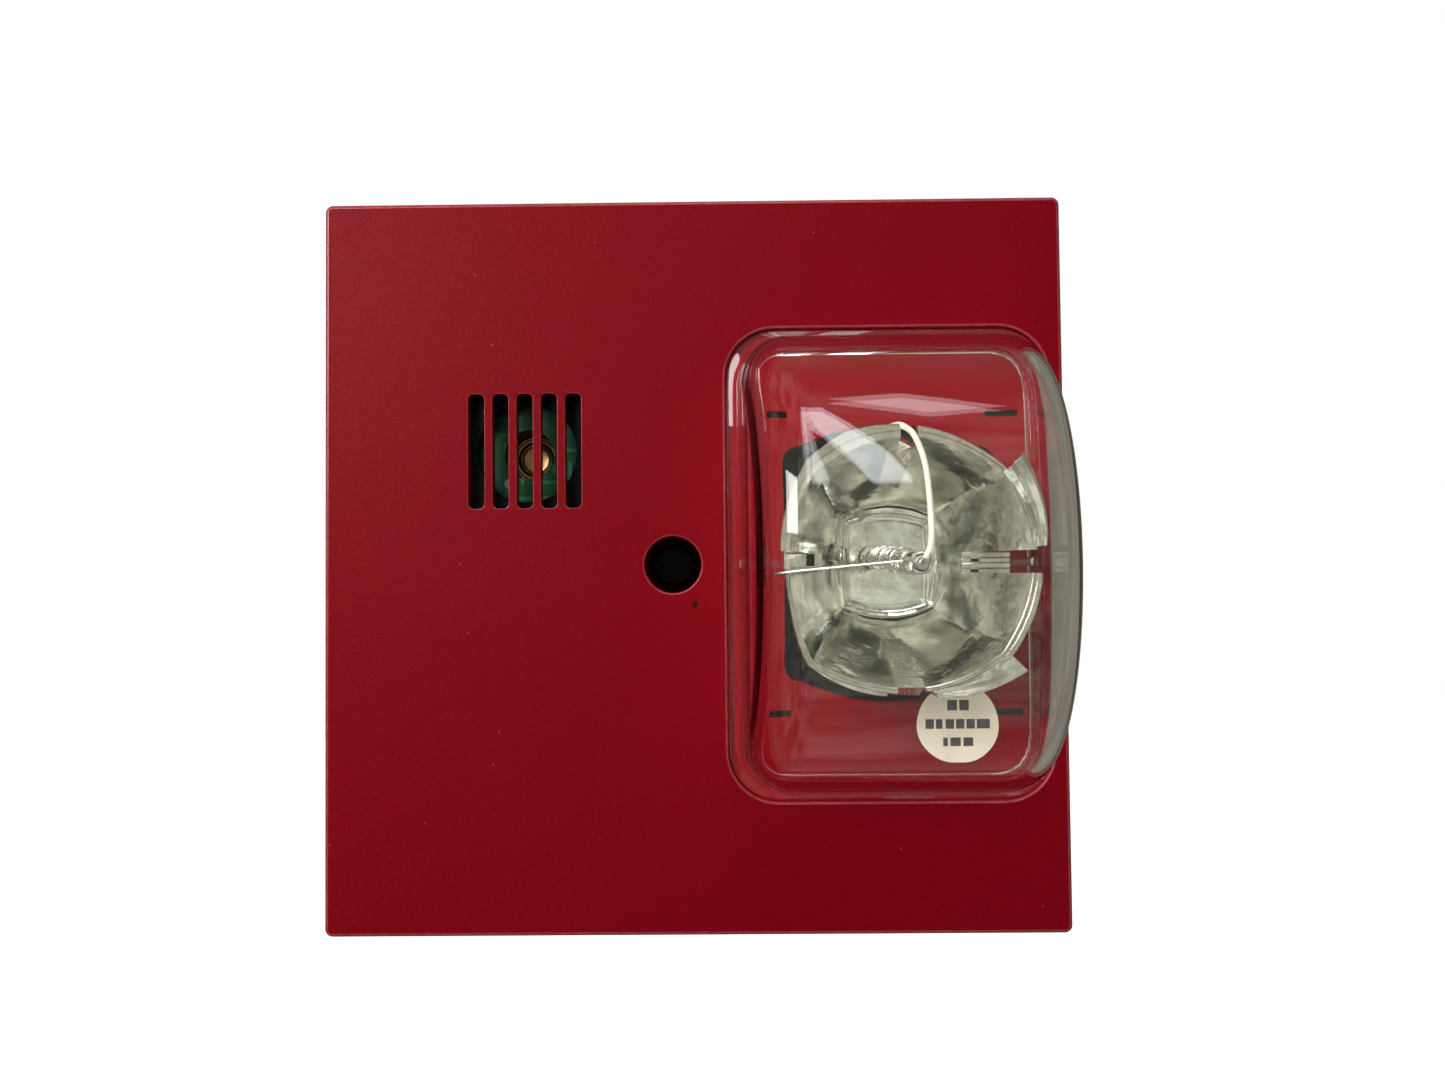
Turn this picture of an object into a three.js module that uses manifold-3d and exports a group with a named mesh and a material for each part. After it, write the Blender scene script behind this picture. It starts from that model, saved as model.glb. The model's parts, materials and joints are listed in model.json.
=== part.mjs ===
// Horn strobe for a fire alarm system: a square red cover with a small horn behind
// five sound slots and a xenon flash tube in a metallized reflector under a clear dome.
//
// Millimetres, +Z up. The wall is the plane y = 0 and the unit faces -Y, with the
// origin in the middle of the mounting plate's back. Everything that comes away with
// the front unit is drawn by its depth behind the cover's face, so inside the front
// unit's group y = 0 is the face, +y goes back to the wall and -y stands out of it.

import * as THREE from 'three';
import { mergeVertices } from 'three/addons/utils/BufferGeometryUtils.js';
import Module from 'manifold-3d';

const wasm = await Module();
wasm.setup();

// ---- driving dimensions ----

const GAP = 0.3; // clearance between neighbouring pieces

const FACE_WIDTH = 114.3;
const FACE_HEIGHT = 113.2;
const COVER_DEPTH = 32; // wall plane to the cover's face
const WALL = 2.2; // moulded wall of the cover
const EDGE_RADIUS = 1.2;

const SLOT_COUNT = 5;
const SLOT_PITCH = 3.76;
const SLOT_WIDTH = 2.5;
const SLOT_LENGTH = 17.8;
const HORN_X = -26.1;
const HORN_Z = 17.8;

const SCREW_X = -3.3; // axis of the captive mounting screw
const ACCESS_RADIUS = 4.4;
const SLEEVE_RADIUS = 6.2;
const SEAT_FRONT = 17;
const SEAT_BACK = 18.8;

const LENS_X = 29.9;
const FLANGE_WIDTH = 49.2;
const FLANGE_HEIGHT = 72.3;
const FLANGE_CORNER = 7.4;
const FLANGE_THICKNESS = 1.6;
const FLANGE_STEP = 1.4; // flange edge to the dome's wall
const DOME_REACH = 29; // dome crown in front of the face
const DOME_WALL = 2;
const DOME_DRAFT = Math.tan(THREE.MathUtils.degToRad(4));
const DOME_SHOULDER = 3.2;
const POCKET_DEPTH = 2;
const POCKET_FLOOR = 2;

const REFLECTOR_X = 30;
const RIM_HALF_WIDTH = 17.8;
const RIM_HALF_HEIGHT = 18.6;
const BOTTOM_HALF_WIDTH = 7.1;
const BOTTOM_HALF_HEIGHT = 7.9;
const BOTTOM_DEPTH = 3.4;
const RIM_DEPTH = -16;
const REFLECTOR_WALL = 1.2;

const TUBE_RADIUS = 1.6;
const TUBE_BORE = 1.1;
const TUBE_BASE = new THREE.Vector3(-2.3, BOTTOM_DEPTH + 0.2, 1);
const TUBE_TIP = new THREE.Vector3(0, -24, -0.3);
const ELECTRODE_RADIUS = 0.75;
const ELECTRODE_LENGTH = 6;

const BOARD_FRONT = 5.4;
const BOARD_THICKNESS = 1.6;
const BOARD_BACK = BOARD_FRONT + BOARD_THICKNESS;
const PARTS_FRONT = BOARD_BACK + GAP; // where the components stand off the board

const HOUSING_FRONT = 25.5;
const HOUSING_BACK = 27;

const CORNER_X = 48.5; // screws that hold the rear housing in the cover
const CORNER_Z = 48;
const CORNER_BOSS_RADIUS = 3.5;
const PILOT_RADIUS = 1.3;
const BOARD_BOSSES = [[-48, 0], [0, -48]]; // X and Z of the two that hold the board

const TERMINAL_X = -26;
const TERMINAL_Z = -27;
const TERMINAL_COUNT = 4;
const TERMINAL_PITCH = 9;
const TERMINAL_TOP = 17; // depth of the terminal block's contact surface
const TERMINAL_FIN = 1.4; // thickness of the walls between terminals
const TERMINAL_SEAT = TERMINAL_TOP + 2.5; // underside of a terminal screw's head

const SWITCH_X = 2;
const SWITCH_Z = -28;
const SWITCH_PITCH = 2.54;
const SWITCH_COUNT = 2;
const SWITCH_TRAVEL = 1.6;

const PLATE_WIDTH = 106;
const PLATE_HEIGHT = 105;
const PLATE_FRONT = 30.2;
const PLATE_BACK = COVER_DEPTH;
const PLATE_LIP = 28; // front edge of the rim round the mounting plate
const BOX_SCREW_Z = 41.65; // half the 83.3 mm spacing of a single-gang box
const OCTAGON_OFFSET = 44.45 * Math.SQRT1_2; // half the 88.9 mm spacing, on the diagonal
const BOX_SLOT = [12, 5];
const INSERT_BOSS_FRONT = 26.8;
const INSERT_RADIUS = 2.9;
const INSERT_BACK = 31;

// ---- materials ----

const COLOURS = {
  red: { color: 0x8a0a1c, roughness: 0.42, metalness: 0 },
  clear: { color: 0xe8ecec, roughness: 0.05, metalness: 0, transparent: true, opacity: 0.25 },
  mirror: { color: 0xc9ccc4, roughness: 0.12, metalness: 1 },
  glass: { color: 0xdde4e2, roughness: 0.03, metalness: 0, transparent: true, opacity: 0.4 },
  white: { color: 0xd8d4c4, roughness: 0.5, metalness: 0 },
  cream: { color: 0xcfc3a0, roughness: 0.7, metalness: 0 },
  black: { color: 0x161616, roughness: 0.55, metalness: 0 },
  grey: { color: 0x55585a, roughness: 0.6, metalness: 0 },
  green: { color: 0x1d6b3c, roughness: 0.45, metalness: 0 },
  steel: { color: 0xb4b6b8, roughness: 0.35, metalness: 1 },
  darkSteel: { color: 0x2b2b2d, roughness: 0.4, metalness: 1 },
  brass: { color: 0xb08d4c, roughness: 0.35, metalness: 1 },
  copper: { color: 0xa5562e, roughness: 0.35, metalness: 1 },
  ferrite: { color: 0x3a3836, roughness: 0.7, metalness: 0 },
  blue: { color: 0x24407c, roughness: 0.4, metalness: 0 },
  yellow: { color: 0xc9a22a, roughness: 0.5, metalness: 0 },
  ceramic: { color: 0xd9d6cc, roughness: 0.6, metalness: 0 },
  tan: { color: 0xb79a6a, roughness: 0.5, metalness: 0 },
};

function material(name) {
  return new THREE.MeshStandardMaterial(COLOURS[name]);
}

// ---- solids ----

function toSolid(geometry) {
  const bare = geometry.clone();
  bare.deleteAttribute('normal');
  bare.deleteAttribute('uv');
  const merged = mergeVertices(bare, 1e-4);
  const triVerts = [];
  for (let i = 0; i < merged.index.count; i += 3) {
    const [a, b, c] = merged.index.array.slice(i, i + 3);
    if (a !== b && b !== c && c !== a) triVerts.push(a, b, c);
  }
  const vertProperties = new Float32Array(merged.attributes.position.array);
  const mesh = new wasm.Mesh({ numProp: 3, vertProperties, triVerts: new Uint32Array(triVerts) });
  return new wasm.Manifold(mesh);
}

function toGeometry(solid) {
  const mesh = solid.getMesh();
  const geometry = new THREE.BufferGeometry();
  geometry.setAttribute('position', new THREE.BufferAttribute(mesh.vertProperties, 3));
  geometry.setIndex(new THREE.BufferAttribute(mesh.triVerts, 1));
  geometry.computeVertexNormals();
  return geometry;
}

function join(...pieces) {
  return toGeometry(pieces.map(toSolid).reduce((whole, piece) => whole.add(piece)));
}

function cut(base, ...tools) {
  return toGeometry(tools.map(toSolid).reduce((whole, tool) => whole.subtract(tool), toSolid(base)));
}

function common(...pieces) {
  return toGeometry(pieces.map(toSolid).reduce((whole, piece) => whole.intersect(piece)));
}

// ---- outlines and simple shapes ----

function roundedRect(width, height, radius, x = 0, z = 0) {
  const [left, right, low, high] = [x - width / 2, x + width / 2, z - height / 2, z + height / 2];
  const shape = new THREE.Shape();
  shape.moveTo(left + radius, low);
  shape.lineTo(right - radius, low);
  shape.absarc(right - radius, low + radius, radius, -Math.PI / 2, 0);
  shape.lineTo(right, high - radius);
  shape.absarc(right - radius, high - radius, radius, 0, Math.PI / 2);
  shape.lineTo(left + radius, high);
  shape.absarc(left + radius, high - radius, radius, Math.PI / 2, Math.PI);
  shape.lineTo(left, low + radius);
  shape.absarc(left + radius, low + radius, radius, Math.PI, 1.5 * Math.PI);
  shape.closePath();
  return shape;
}

// An outline drawn in X and Z, extruded from one depth to another.
function slab(shape, front, back, curveSegments = 3) {
  const depth = back - front;
  const geometry = new THREE.ExtrudeGeometry(shape, { depth, bevelEnabled: false, curveSegments });
  return geometry.rotateX(Math.PI / 2).translate(0, back, 0);
}

// A square-edged block by its centre in X and Z and its front and back depth.
function block(width, height, front, back, x = 0, z = 0) {
  return new THREE.BoxGeometry(width, back - front, height).translate(x, (front + back) / 2, z);
}

// A round bar along Y.
function bar(radius, front, back, x = 0, z = 0, segments = 16) {
  const geometry = new THREE.CylinderGeometry(radius, radius, back - front, segments);
  return geometry.translate(x, (front + back) / 2, z);
}

function ring(outer, inner, front, back, segments = 24) {
  return lathe([[inner, front], [outer, front], [outer, back], [inner, back], [inner, front]], segments);
}

// A turned body about Y from [radius, depth] points.
function lathe(points, segments = 20) {
  const outline = points.map(([radius, depth]) => new THREE.Vector2(radius, depth));
  return new THREE.LatheGeometry(outline, segments);
}

// The four places mirrored about both centre lines.
function cornerPlaces(x, z) {
  return [[-x, -z], [-x, z], [x, -z], [x, z]];
}

// A round cable along a smooth route through the given points.
function cable(points, radius, sides, steps) {
  const section = new THREE.Shape();
  for (let i = 0; i < sides; i++) {
    const angle = (i / sides) * 2 * Math.PI;
    const [x, y] = [radius * Math.cos(angle), radius * Math.sin(angle)];
    if (i === 0) section.moveTo(x, y);
    else section.lineTo(x, y);
  }
  section.closePath();
  const extrudePath = new THREE.CatmullRomCurve3(points.map((p) => new THREE.Vector3(...p)));
  return new THREE.ExtrudeGeometry(section, { steps, extrudePath, bevelEnabled: false });
}

// ---- scene graph ----

const hornStrobe = new THREE.Group();
const frontUnit = new THREE.Group();
frontUnit.position.set(0, -COVER_DEPTH, 0);
hornStrobe.add(frontUnit);

const hornGroup = new THREE.Group();
hornGroup.position.set(HORN_X, 0, HORN_Z);
frontUnit.add(hornGroup);

const strobeGroup = new THREE.Group();
strobeGroup.position.set(REFLECTOR_X, 0, 0);
frontUnit.add(strobeGroup);

const terminalGroup = new THREE.Group();
terminalGroup.position.set(TERMINAL_X, 0, TERMINAL_Z);
frontUnit.add(terminalGroup);

const switchGroup = new THREE.Group();
switchGroup.position.set(SWITCH_X, 0, SWITCH_Z);
frontUnit.add(switchGroup);

const plateGroup = new THREE.Group();
plateGroup.position.set(0, -COVER_DEPTH, 0);
hornStrobe.add(plateGroup);

function put(group, name, geometry, look, x = 0, y = 0, z = 0) {
  const mesh = new THREE.Mesh(geometry, material(look));
  mesh.name = name;
  mesh.position.set(x, y, z);
  group.add(mesh);
  return mesh;
}

// ---- front cover ----

// Opening in the pocket floor round the reflector: straight sides, bowed ends.
function reflectorOpening() {
  const [side, corner, end] = [17, 15, 21.5];
  const shape = new THREE.Shape();
  shape.moveTo(REFLECTOR_X - side, -corner);
  shape.quadraticCurveTo(REFLECTOR_X - side, -corner - 3, REFLECTOR_X - side + 4, -corner - 3.4);
  shape.quadraticCurveTo(REFLECTOR_X, -2 * end + corner + 3.4, REFLECTOR_X + side - 4, -corner - 3.4);
  shape.quadraticCurveTo(REFLECTOR_X + side, -corner - 3, REFLECTOR_X + side, -corner);
  shape.lineTo(REFLECTOR_X + side, corner);
  shape.quadraticCurveTo(REFLECTOR_X + side, corner + 3, REFLECTOR_X + side - 4, corner + 3.4);
  shape.quadraticCurveTo(REFLECTOR_X, 2 * end - corner - 3.4, REFLECTOR_X - side + 4, corner + 3.4);
  shape.quadraticCurveTo(REFLECTOR_X - side, corner + 3, REFLECTOR_X - side, corner);
  shape.closePath();
  return slab(shape, 1, 5, 8);
}

function coverShell() {
  const outside = slab(roundedRect(FACE_WIDTH, FACE_HEIGHT, EDGE_RADIUS), 0, COVER_DEPTH - 0.4);
  const inside = slab(
    roundedRect(FACE_WIDTH - 2 * WALL, FACE_HEIGHT - 2 * WALL, EDGE_RADIUS / 2), WALL, COVER_DEPTH + 1,
  );
  return cut(outside, inside);
}

// Bosses behind the face: four for the rear housing's screws and two for the board's.
function coverBosses() {
  const front = WALL - 0.5;
  return [
    ...cornerPlaces(CORNER_X, CORNER_Z).map(([x, z]) => (
      bar(CORNER_BOSS_RADIUS, front, HOUSING_FRONT - GAP, x, z)
    )),
    ...BOARD_BOSSES.map(([x, z]) => bar(3, front, BOARD_FRONT - GAP, x, z)),
  ];
}

function bossPilots() {
  return [
    ...cornerPlaces(CORNER_X, CORNER_Z).map(([x, z]) => (
      bar(PILOT_RADIUS, HOUSING_FRONT - 10, HOUSING_FRONT + 1, x, z, 10)
    )),
    ...BOARD_BOSSES.map(([x, z]) => bar(PILOT_RADIUS, 1.2, BOARD_FRONT + 1, x, z, 10)),
  ];
}

function soundSlots() {
  const slots = [];
  for (let i = 0; i < SLOT_COUNT; i++) {
    const x = HORN_X + (i - (SLOT_COUNT - 1) / 2) * SLOT_PITCH;
    slots.push(slab(roundedRect(SLOT_WIDTH, SLOT_LENGTH, 0.7, x, HORN_Z), -1, WALL + 1));
  }
  return slots;
}

// Narrow slots in the pocket floor beyond the reflector's four corners.
function floorSlots() {
  return cornerPlaces(18.05, 23.2).map(([x, z]) => block(5.2, 1, 1, 5, REFLECTOR_X + x, z));
}

function frontCover() {
  const pocketBacking = block(53, 77.2, WALL - 0.5, POCKET_DEPTH + POCKET_FLOOR, 29.5, 0);
  const pocket = slab(
    roundedRect(FLANGE_WIDTH + 2 * GAP, FLANGE_HEIGHT + 2 * GAP, FLANGE_CORNER + GAP, LENS_X, 0),
    -1, POCKET_DEPTH, 6,
  );
  const sleeve = bar(SLEEVE_RADIUS, WALL - 0.5, SEAT_BACK, SCREW_X, 0, 24);
  return cut(
    join(coverShell(), pocketBacking, sleeve, ...coverBosses()),
    pocket,
    reflectorOpening(),
    bar(ACCESS_RADIUS, -1, SEAT_FRONT, SCREW_X, 0, 24),
    bar(2.3, SEAT_FRONT - 1, SEAT_BACK + 1, SCREW_X, 0, 12),
    ...soundSlots(),
    ...floorSlots(),
    ...bossPilots(),
  );
}

put(frontUnit, 'front_cover', frontCover(), 'red');

// ---- clear lens ----

// The dome's solid, shrunk by inset: bowed from top to bottom, drafted at the sides.
function domeSolid(inset, base) {
  const halfWidth = FLANGE_WIDTH / 2 - FLANGE_STEP - inset;
  const halfHeight = FLANGE_HEIGHT / 2 - FLANGE_STEP - inset;
  const reach = DOME_REACH - inset;
  const radius = DOME_SHOULDER - inset / 2;

  const side = new THREE.Shape();
  side.moveTo(base, -halfHeight);
  side.lineTo(0, -halfHeight);
  side.absellipse(0, 0, reach, halfHeight, -Math.PI / 2, Math.PI / 2, true);
  side.lineTo(base, halfHeight);
  side.closePath();
  const sideways = new THREE.ExtrudeGeometry(side, { depth: 60, bevelEnabled: false, curveSegments: 20 });
  const toSide = new THREE.Matrix4().makeBasis(
    new THREE.Vector3(0, 1, 0), new THREE.Vector3(0, 0, 1), new THREE.Vector3(1, 0, 0),
  );
  sideways.applyMatrix4(toSide).translate(-30, 0, 0);

  const top = new THREE.Shape();
  const draftAt = (depth) => halfWidth + DOME_DRAFT * depth;
  top.moveTo(-halfWidth, base);
  top.lineTo(-draftAt(-reach + radius), -reach + radius);
  top.quadraticCurveTo(-draftAt(-reach), -reach, -draftAt(-reach) + radius, -reach);
  top.lineTo(draftAt(-reach) - radius, -reach);
  top.quadraticCurveTo(draftAt(-reach), -reach, draftAt(-reach + radius), -reach + radius);
  top.lineTo(halfWidth, base);
  top.closePath();
  const upright = new THREE.ExtrudeGeometry(top, { depth: 80, bevelEnabled: false, curveSegments: 4 });
  upright.translate(0, 0, -40);

  const face = roundedRect(2 * halfWidth, 2 * halfHeight, FLANGE_CORNER - FLANGE_STEP - inset / 2);
  return common(sideways, upright, slab(face, -DOME_REACH - 1, base, 5));
}

function lens() {
  const back = POCKET_DEPTH - GAP;
  const flange = slab(
    roundedRect(FLANGE_WIDTH, FLANGE_HEIGHT, FLANGE_CORNER), back - FLANGE_THICKNESS, back, 6,
  );
  return cut(join(flange, domeSolid(0, back)), domeSolid(DOME_WALL, back + 1));
}

put(frontUnit, 'lens', lens(), 'clear', LENS_X);

// ---- reflector ----

// One closed ring of points: a superellipse that goes from square to round.
function bowlRing(fraction, offset, depth, count) {
  const halfWidth = THREE.MathUtils.lerp(BOTTOM_HALF_WIDTH, RIM_HALF_WIDTH, fraction) + offset;
  const halfHeight = THREE.MathUtils.lerp(BOTTOM_HALF_HEIGHT, RIM_HALF_HEIGHT, fraction) + offset;
  const power = THREE.MathUtils.lerp(4, 2.2, fraction);
  const points = [];
  for (let i = 0; i < count; i++) {
    const angle = (i / count) * 2 * Math.PI;
    const [c, s] = [Math.cos(angle), Math.sin(angle)];
    const size = (Math.abs(c) ** power + Math.abs(s) ** power) ** (-1 / power);
    points.push(new THREE.Vector3(halfWidth * size * c, depth, halfHeight * size * s));
  }
  return points;
}

// A closed body through a row of rings, with flat ends.
function loft(rings) {
  const count = rings[0].length;
  const centre = (points) => points.reduce((sum, p) => sum.add(p), new THREE.Vector3())
    .multiplyScalar(1 / count);
  const vertices = [...rings.flat(), centre(rings[0]), centre(rings[rings.length - 1])];
  const [first, last] = [vertices.length - 2, vertices.length - 1];
  const index = [];
  for (let i = 0; i < count; i++) {
    const next = (i + 1) % count;
    index.push(first, i, next);
    index.push(last, (rings.length - 1) * count + next, (rings.length - 1) * count + i);
    for (let k = 0; k + 1 < rings.length; k++) {
      const [low, high] = [k * count, (k + 1) * count];
      index.push(low + i, high + i, high + next);
      index.push(low + i, high + next, low + next);
    }
  }
  const geometry = new THREE.BufferGeometry().setFromPoints(vertices);
  geometry.setIndex(index);
  return geometry;
}

function bowl() {
  const [steps, count] = [5, 32];
  const depthAt = (f) => BOTTOM_DEPTH + (RIM_DEPTH - BOTTOM_DEPTH) * f ** 1.5;
  const rings = [];
  for (let k = 0; k <= steps; k++) {
    rings.push(bowlRing(k / steps, 0, depthAt(k / steps), count));
  }
  for (let k = steps; k >= 0; k--) {
    const back = k === steps ? 0 : REFLECTOR_WALL;
    rings.push(bowlRing(k / steps, REFLECTOR_WALL, depthAt(k / steps) + back, count));
  }
  return loft(rings);
}

// A flat wing outside the rim between two angles in degrees.
function wing(from, to, reach, front, back) {
  const [start, end] = [THREE.MathUtils.degToRad(from), THREE.MathUtils.degToRad(to)];
  const shape = new THREE.Shape();
  shape.absellipse(0, 0, RIM_HALF_WIDTH + reach, RIM_HALF_HEIGHT + reach, start, end, false);
  shape.absellipse(0, 0, RIM_HALF_WIDTH + 0.6, RIM_HALF_HEIGHT + 0.6, end, start, true);
  shape.closePath();
  return slab(shape, front, back, 8);
}

function reflector() {
  const body = join(
    bowl(),
    wing(6, 36, 1.8, RIM_DEPTH, RIM_DEPTH + 4),
    wing(-34, -6, 1.6, RIM_DEPTH, RIM_DEPTH + 4),
    wing(-76, -44, 3.2, RIM_DEPTH + 3, RIM_DEPTH + 6),
  );
  return cut(
    body,
    block(4.4, 12, RIM_DEPTH - 1, -5, 0, 17),
    block(3.6, 12, RIM_DEPTH - 1, -5, 0, -17),
    block(12, 4, RIM_DEPTH - 1, -5, 18.5, 0),
    block(12, 4.4, RIM_DEPTH - 1, -5, -17, -0.8),
    bar(2.6, 0, 6, TUBE_BASE.x, TUBE_BASE.z),
  );
}

put(strobeGroup, 'reflector', reflector(), 'mirror');

// ---- flash tube ----

const tubeAxis = new THREE.Vector3().subVectors(TUBE_TIP, TUBE_BASE).normalize();
const tubeLength = TUBE_TIP.distanceTo(TUBE_BASE);
const tubeGroup = new THREE.Group();
tubeGroup.position.copy(TUBE_BASE);
tubeGroup.quaternion.setFromUnitVectors(new THREE.Vector3(0, 1, 0), tubeAxis);
strobeGroup.add(tubeGroup);

put(tubeGroup, 'flash_tube', ring(TUBE_RADIUS, TUBE_BORE, 0, tubeLength, 16), 'glass');
put(tubeGroup, 'tube_cathode', bar(ELECTRODE_RADIUS, 0.4, ELECTRODE_LENGTH, 0, 0, 10), 'steel');
put(
  tubeGroup, 'tube_anode',
  bar(ELECTRODE_RADIUS, tubeLength - ELECTRODE_LENGTH, tubeLength + 0.3, 0, 0, 10), 'steel',
);
put(
  strobeGroup, 'tube_socket',
  bar(2.2, BOTTOM_DEPTH + 0.6, BOARD_FRONT - GAP), 'ceramic', TUBE_BASE.x, 0, TUBE_BASE.z,
);

// White insulated lead from the tube's tip, over the rim's top notch, to the board.
const anodeLeadRoute = [
  [0.2, -24.9, 0.2],
  [1.2, -24.2, 2.6],
  [1.6, -21.6, 8.2],
  [1.5, -19.2, 13.4],
  [0.4, -17.8, 17.6],
  [-0.9, -15.6, 19.8],
  [-1.2, -9, 20.2],
  [-1.2, -2, 20],
  [-1.2, BOARD_FRONT - GAP, 19.6],
];
put(strobeGroup, 'anode_lead', cable(anodeLeadRoute, 0.42, 8, 30), 'white');

// Bare wire from the coil round the tube, over the left notch, to the board.
const triggerWireRoute = [
  [-2.1, -21.6, 0],
  [-10, -19, -0.7],
  [-17.6, -16.4, -1.4],
  [-19.6, -13.6, -1.6],
  [-18.2, -6, -1.6],
  [-15.6, 1, -1.6],
  [-15.2, BOARD_FRONT - GAP, -1.6],
];
put(strobeGroup, 'trigger_wire', cable(triggerWireRoute, 0.2, 6, 24), 'steel');

put(frontUnit, 'rating_label', bar(6.35, 1.72, 1.92, 0, 0, 24), 'cream', 40.4, 0, -25);

// ---- circuit board ----

function circuitBoard() {
  const outline = slab(roundedRect(106.4, 105.4, 1), BOARD_FRONT, BOARD_BACK);
  const [front, back] = [BOARD_FRONT - 1, BOARD_BACK + 1];
  const hole = (radius, x, z, segments = 12) => bar(radius, front, back, x, z, segments);
  const corners = cornerPlaces(CORNER_X + 0.4, CORNER_Z + 0.4).map(([x, z]) => (
    block(9, 9, front, back, x, z)
  ));
  return cut(
    outline,
    ...corners,
    hole(SLEEVE_RADIUS + 0.5, SCREW_X, 0, 24),
    hole(4, HORN_X, HORN_Z, 20),
    ...BOARD_BOSSES.map(([x, z]) => hole(1.6, x, z)),
  );
}

put(frontUnit, 'circuit_board', circuitBoard(), 'green');

BOARD_BOSSES.forEach(([x, z], i) => {
  const head = lathe(
    [[0, 2.2], [1, 2.2], [1, PARTS_FRONT], [2.7, PARTS_FRONT], [2.4, 9], [0, 9]], 12,
  );
  put(frontUnit, `board_screw_${i + 1}`, head, 'steel', x, 0, z);
});

// ---- horn ----

put(hornGroup, 'sound_gasket', ring(13.6, 7.85, WALL + GAP, BOARD_FRONT - GAP), 'black');

function hornHousing() {
  const [front, chamber, back] = [PARTS_FRONT, 12.6, 19.4];
  return lathe([
    [3.8, front], [15, front], [15, back], [12.8, back], [12.8, chamber], [4.4, chamber], [3.8, front],
  ], 28);
}

put(hornGroup, 'horn_housing', hornHousing(), 'black');

// Thin sheet disc with two pressed rings.
function hornDiaphragm() {
  const [front, back] = [13.4, 13.8];
  return lathe([
    [0, front], [1.1, front], [1.5, front - 0.3], [1.9, front], [3.2, front], [3.7, front - 0.3],
    [4.2, front], [12.4, front], [12.4, back], [0, back],
  ], 24);
}

put(hornGroup, 'horn_diaphragm', hornDiaphragm(), 'brass');
put(hornGroup, 'piezo_disc', bar(7, 14.1, 14.5, 0, 0, 20), 'ceramic');
put(hornGroup, 'horn_rear_cap', bar(12.4, 17.6, 19.4, 0, 0, 24), 'black');

// ---- components on the back of the board ----

function drumCore(radius, waist, front, back) {
  const rim = 1.4;
  return lathe([
    [0, front], [radius, front], [radius, front + rim], [waist, front + rim],
    [waist, back - rim], [radius, back - rim], [radius, back], [0, back],
  ], 18);
}

function axialPart(length, radius) {
  const [lead, reach] = [0.35, length / 2 + 3];
  const body = lathe([
    [0, -reach], [lead, -reach], [lead, -length / 2], [radius, -length / 2],
    [radius, length / 2], [lead, length / 2], [lead, reach], [0, reach],
  ], 10);
  return body.rotateZ(Math.PI / 2);
}

function chip(length, width, height, pins) {
  const body = block(length, width, 0.6, 0.6 + height);
  const pitch = 2.54;
  const legs = [];
  for (let i = 0; i < pins / 2; i++) {
    const x = (i - (pins / 2 - 1) / 2) * pitch;
    for (const side of [-1, 1]) {
      legs.push(block(1, 1.2, 0, 2, x, side * (width / 2 + 0.3)));
    }
  }
  return join(body, ...legs);
}

function transistor() {
  const body = block(10, 4.4, 3, 12);
  const tab = block(10, 1.3, 11, 16, 0, 1.5);
  const legs = [-2.54, 0, 2.54].map((x) => block(0.9, 0.9, 0, 4, x, 0));
  return cut(join(body, tab, ...legs), new THREE.CylinderGeometry(1.6, 1.6, 6, 12)
    .rotateX(Math.PI / 2).translate(0, 13.9, 1.5));
}

function canCapacitor(radius, length) {
  return lathe([
    [0, 0], [radius - 0.4, 0], [radius, 0.6], [radius, 2], [radius - 0.5, 2.5], [radius, 3],
    [radius, length - 0.5], [radius - 0.5, length], [0, length],
  ], 20);
}

const flashCapacitor = put(
  frontUnit, 'flash_capacitor', canCapacitor(8, 32), 'blue', 10, PARTS_FRONT + 8.2, 26,
);
flashCapacitor.rotation.z = -Math.PI / 2;
put(frontUnit, 'filter_capacitor', canCapacitor(5, 14), 'black', 16, PARTS_FRONT, -34);
put(frontUnit, 'boost_inductor_core', drumCore(6, 3, PARTS_FRONT, 19), 'ferrite', 10, 0, 8);
put(
  frontUnit, 'boost_inductor_winding', ring(5.4, 3.3, PARTS_FRONT + 1.7, 19 - 1.7, 20), 'copper', 10, 0, 8,
);
put(frontUnit, 'horn_driver_coil', drumCore(4.2, 3.4, PARTS_FRONT, 16), 'ferrite', -47, 0, -12);
put(frontUnit, 'trigger_transformer', block(9, 9, PARTS_FRONT, 19), 'yellow', 44, 0, 6);
put(frontUnit, 'trigger_capacitor', block(11, 5, PARTS_FRONT, 16.5), 'tan', 44, 0, -6);
put(frontUnit, 'switching_transistor', transistor(), 'black', 24, PARTS_FRONT, -8);
put(frontUnit, 'controller_chip', chip(19.3, 6.4, 3.3, 14), 'black', -28, PARTS_FRONT, -8);

const axialParts = [
  ['polarity_diode', 'black', 5, 1.4, [[10, -16], [10, -21]]],
  ['resistor', 'tan', 6.4, 1.2, [[36, -20], [36, -25], [36, -30]]],
];
for (const [name, look, length, radius, places] of axialParts) {
  places.forEach(([x, z], i) => {
    put(frontUnit, `${name}_${i + 1}`, axialPart(length, radius), look, x, PARTS_FRONT + radius, z);
  });
}

// ---- field wiring terminals ----

function terminalX(i) {
  return (i - (TERMINAL_COUNT - 1) / 2) * TERMINAL_PITCH;
}

function terminalBody() {
  const length = TERMINAL_COUNT * TERMINAL_PITCH + TERMINAL_FIN;
  const fins = [];
  const wells = [];
  for (let i = 0; i <= TERMINAL_COUNT; i++) {
    const x = (i - TERMINAL_COUNT / 2) * TERMINAL_PITCH;
    fins.push(block(TERMINAL_FIN, 12, TERMINAL_TOP - 1, TERMINAL_SEAT + 1.9, x, 0));
  }
  for (let i = 0; i < TERMINAL_COUNT; i++) {
    wells.push(bar(2.1, TERMINAL_TOP - 6, TERMINAL_TOP + 1, terminalX(i), 0, 12));
  }
  return cut(join(block(length, 13, PARTS_FRONT, TERMINAL_TOP), ...fins), ...wells);
}

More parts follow.
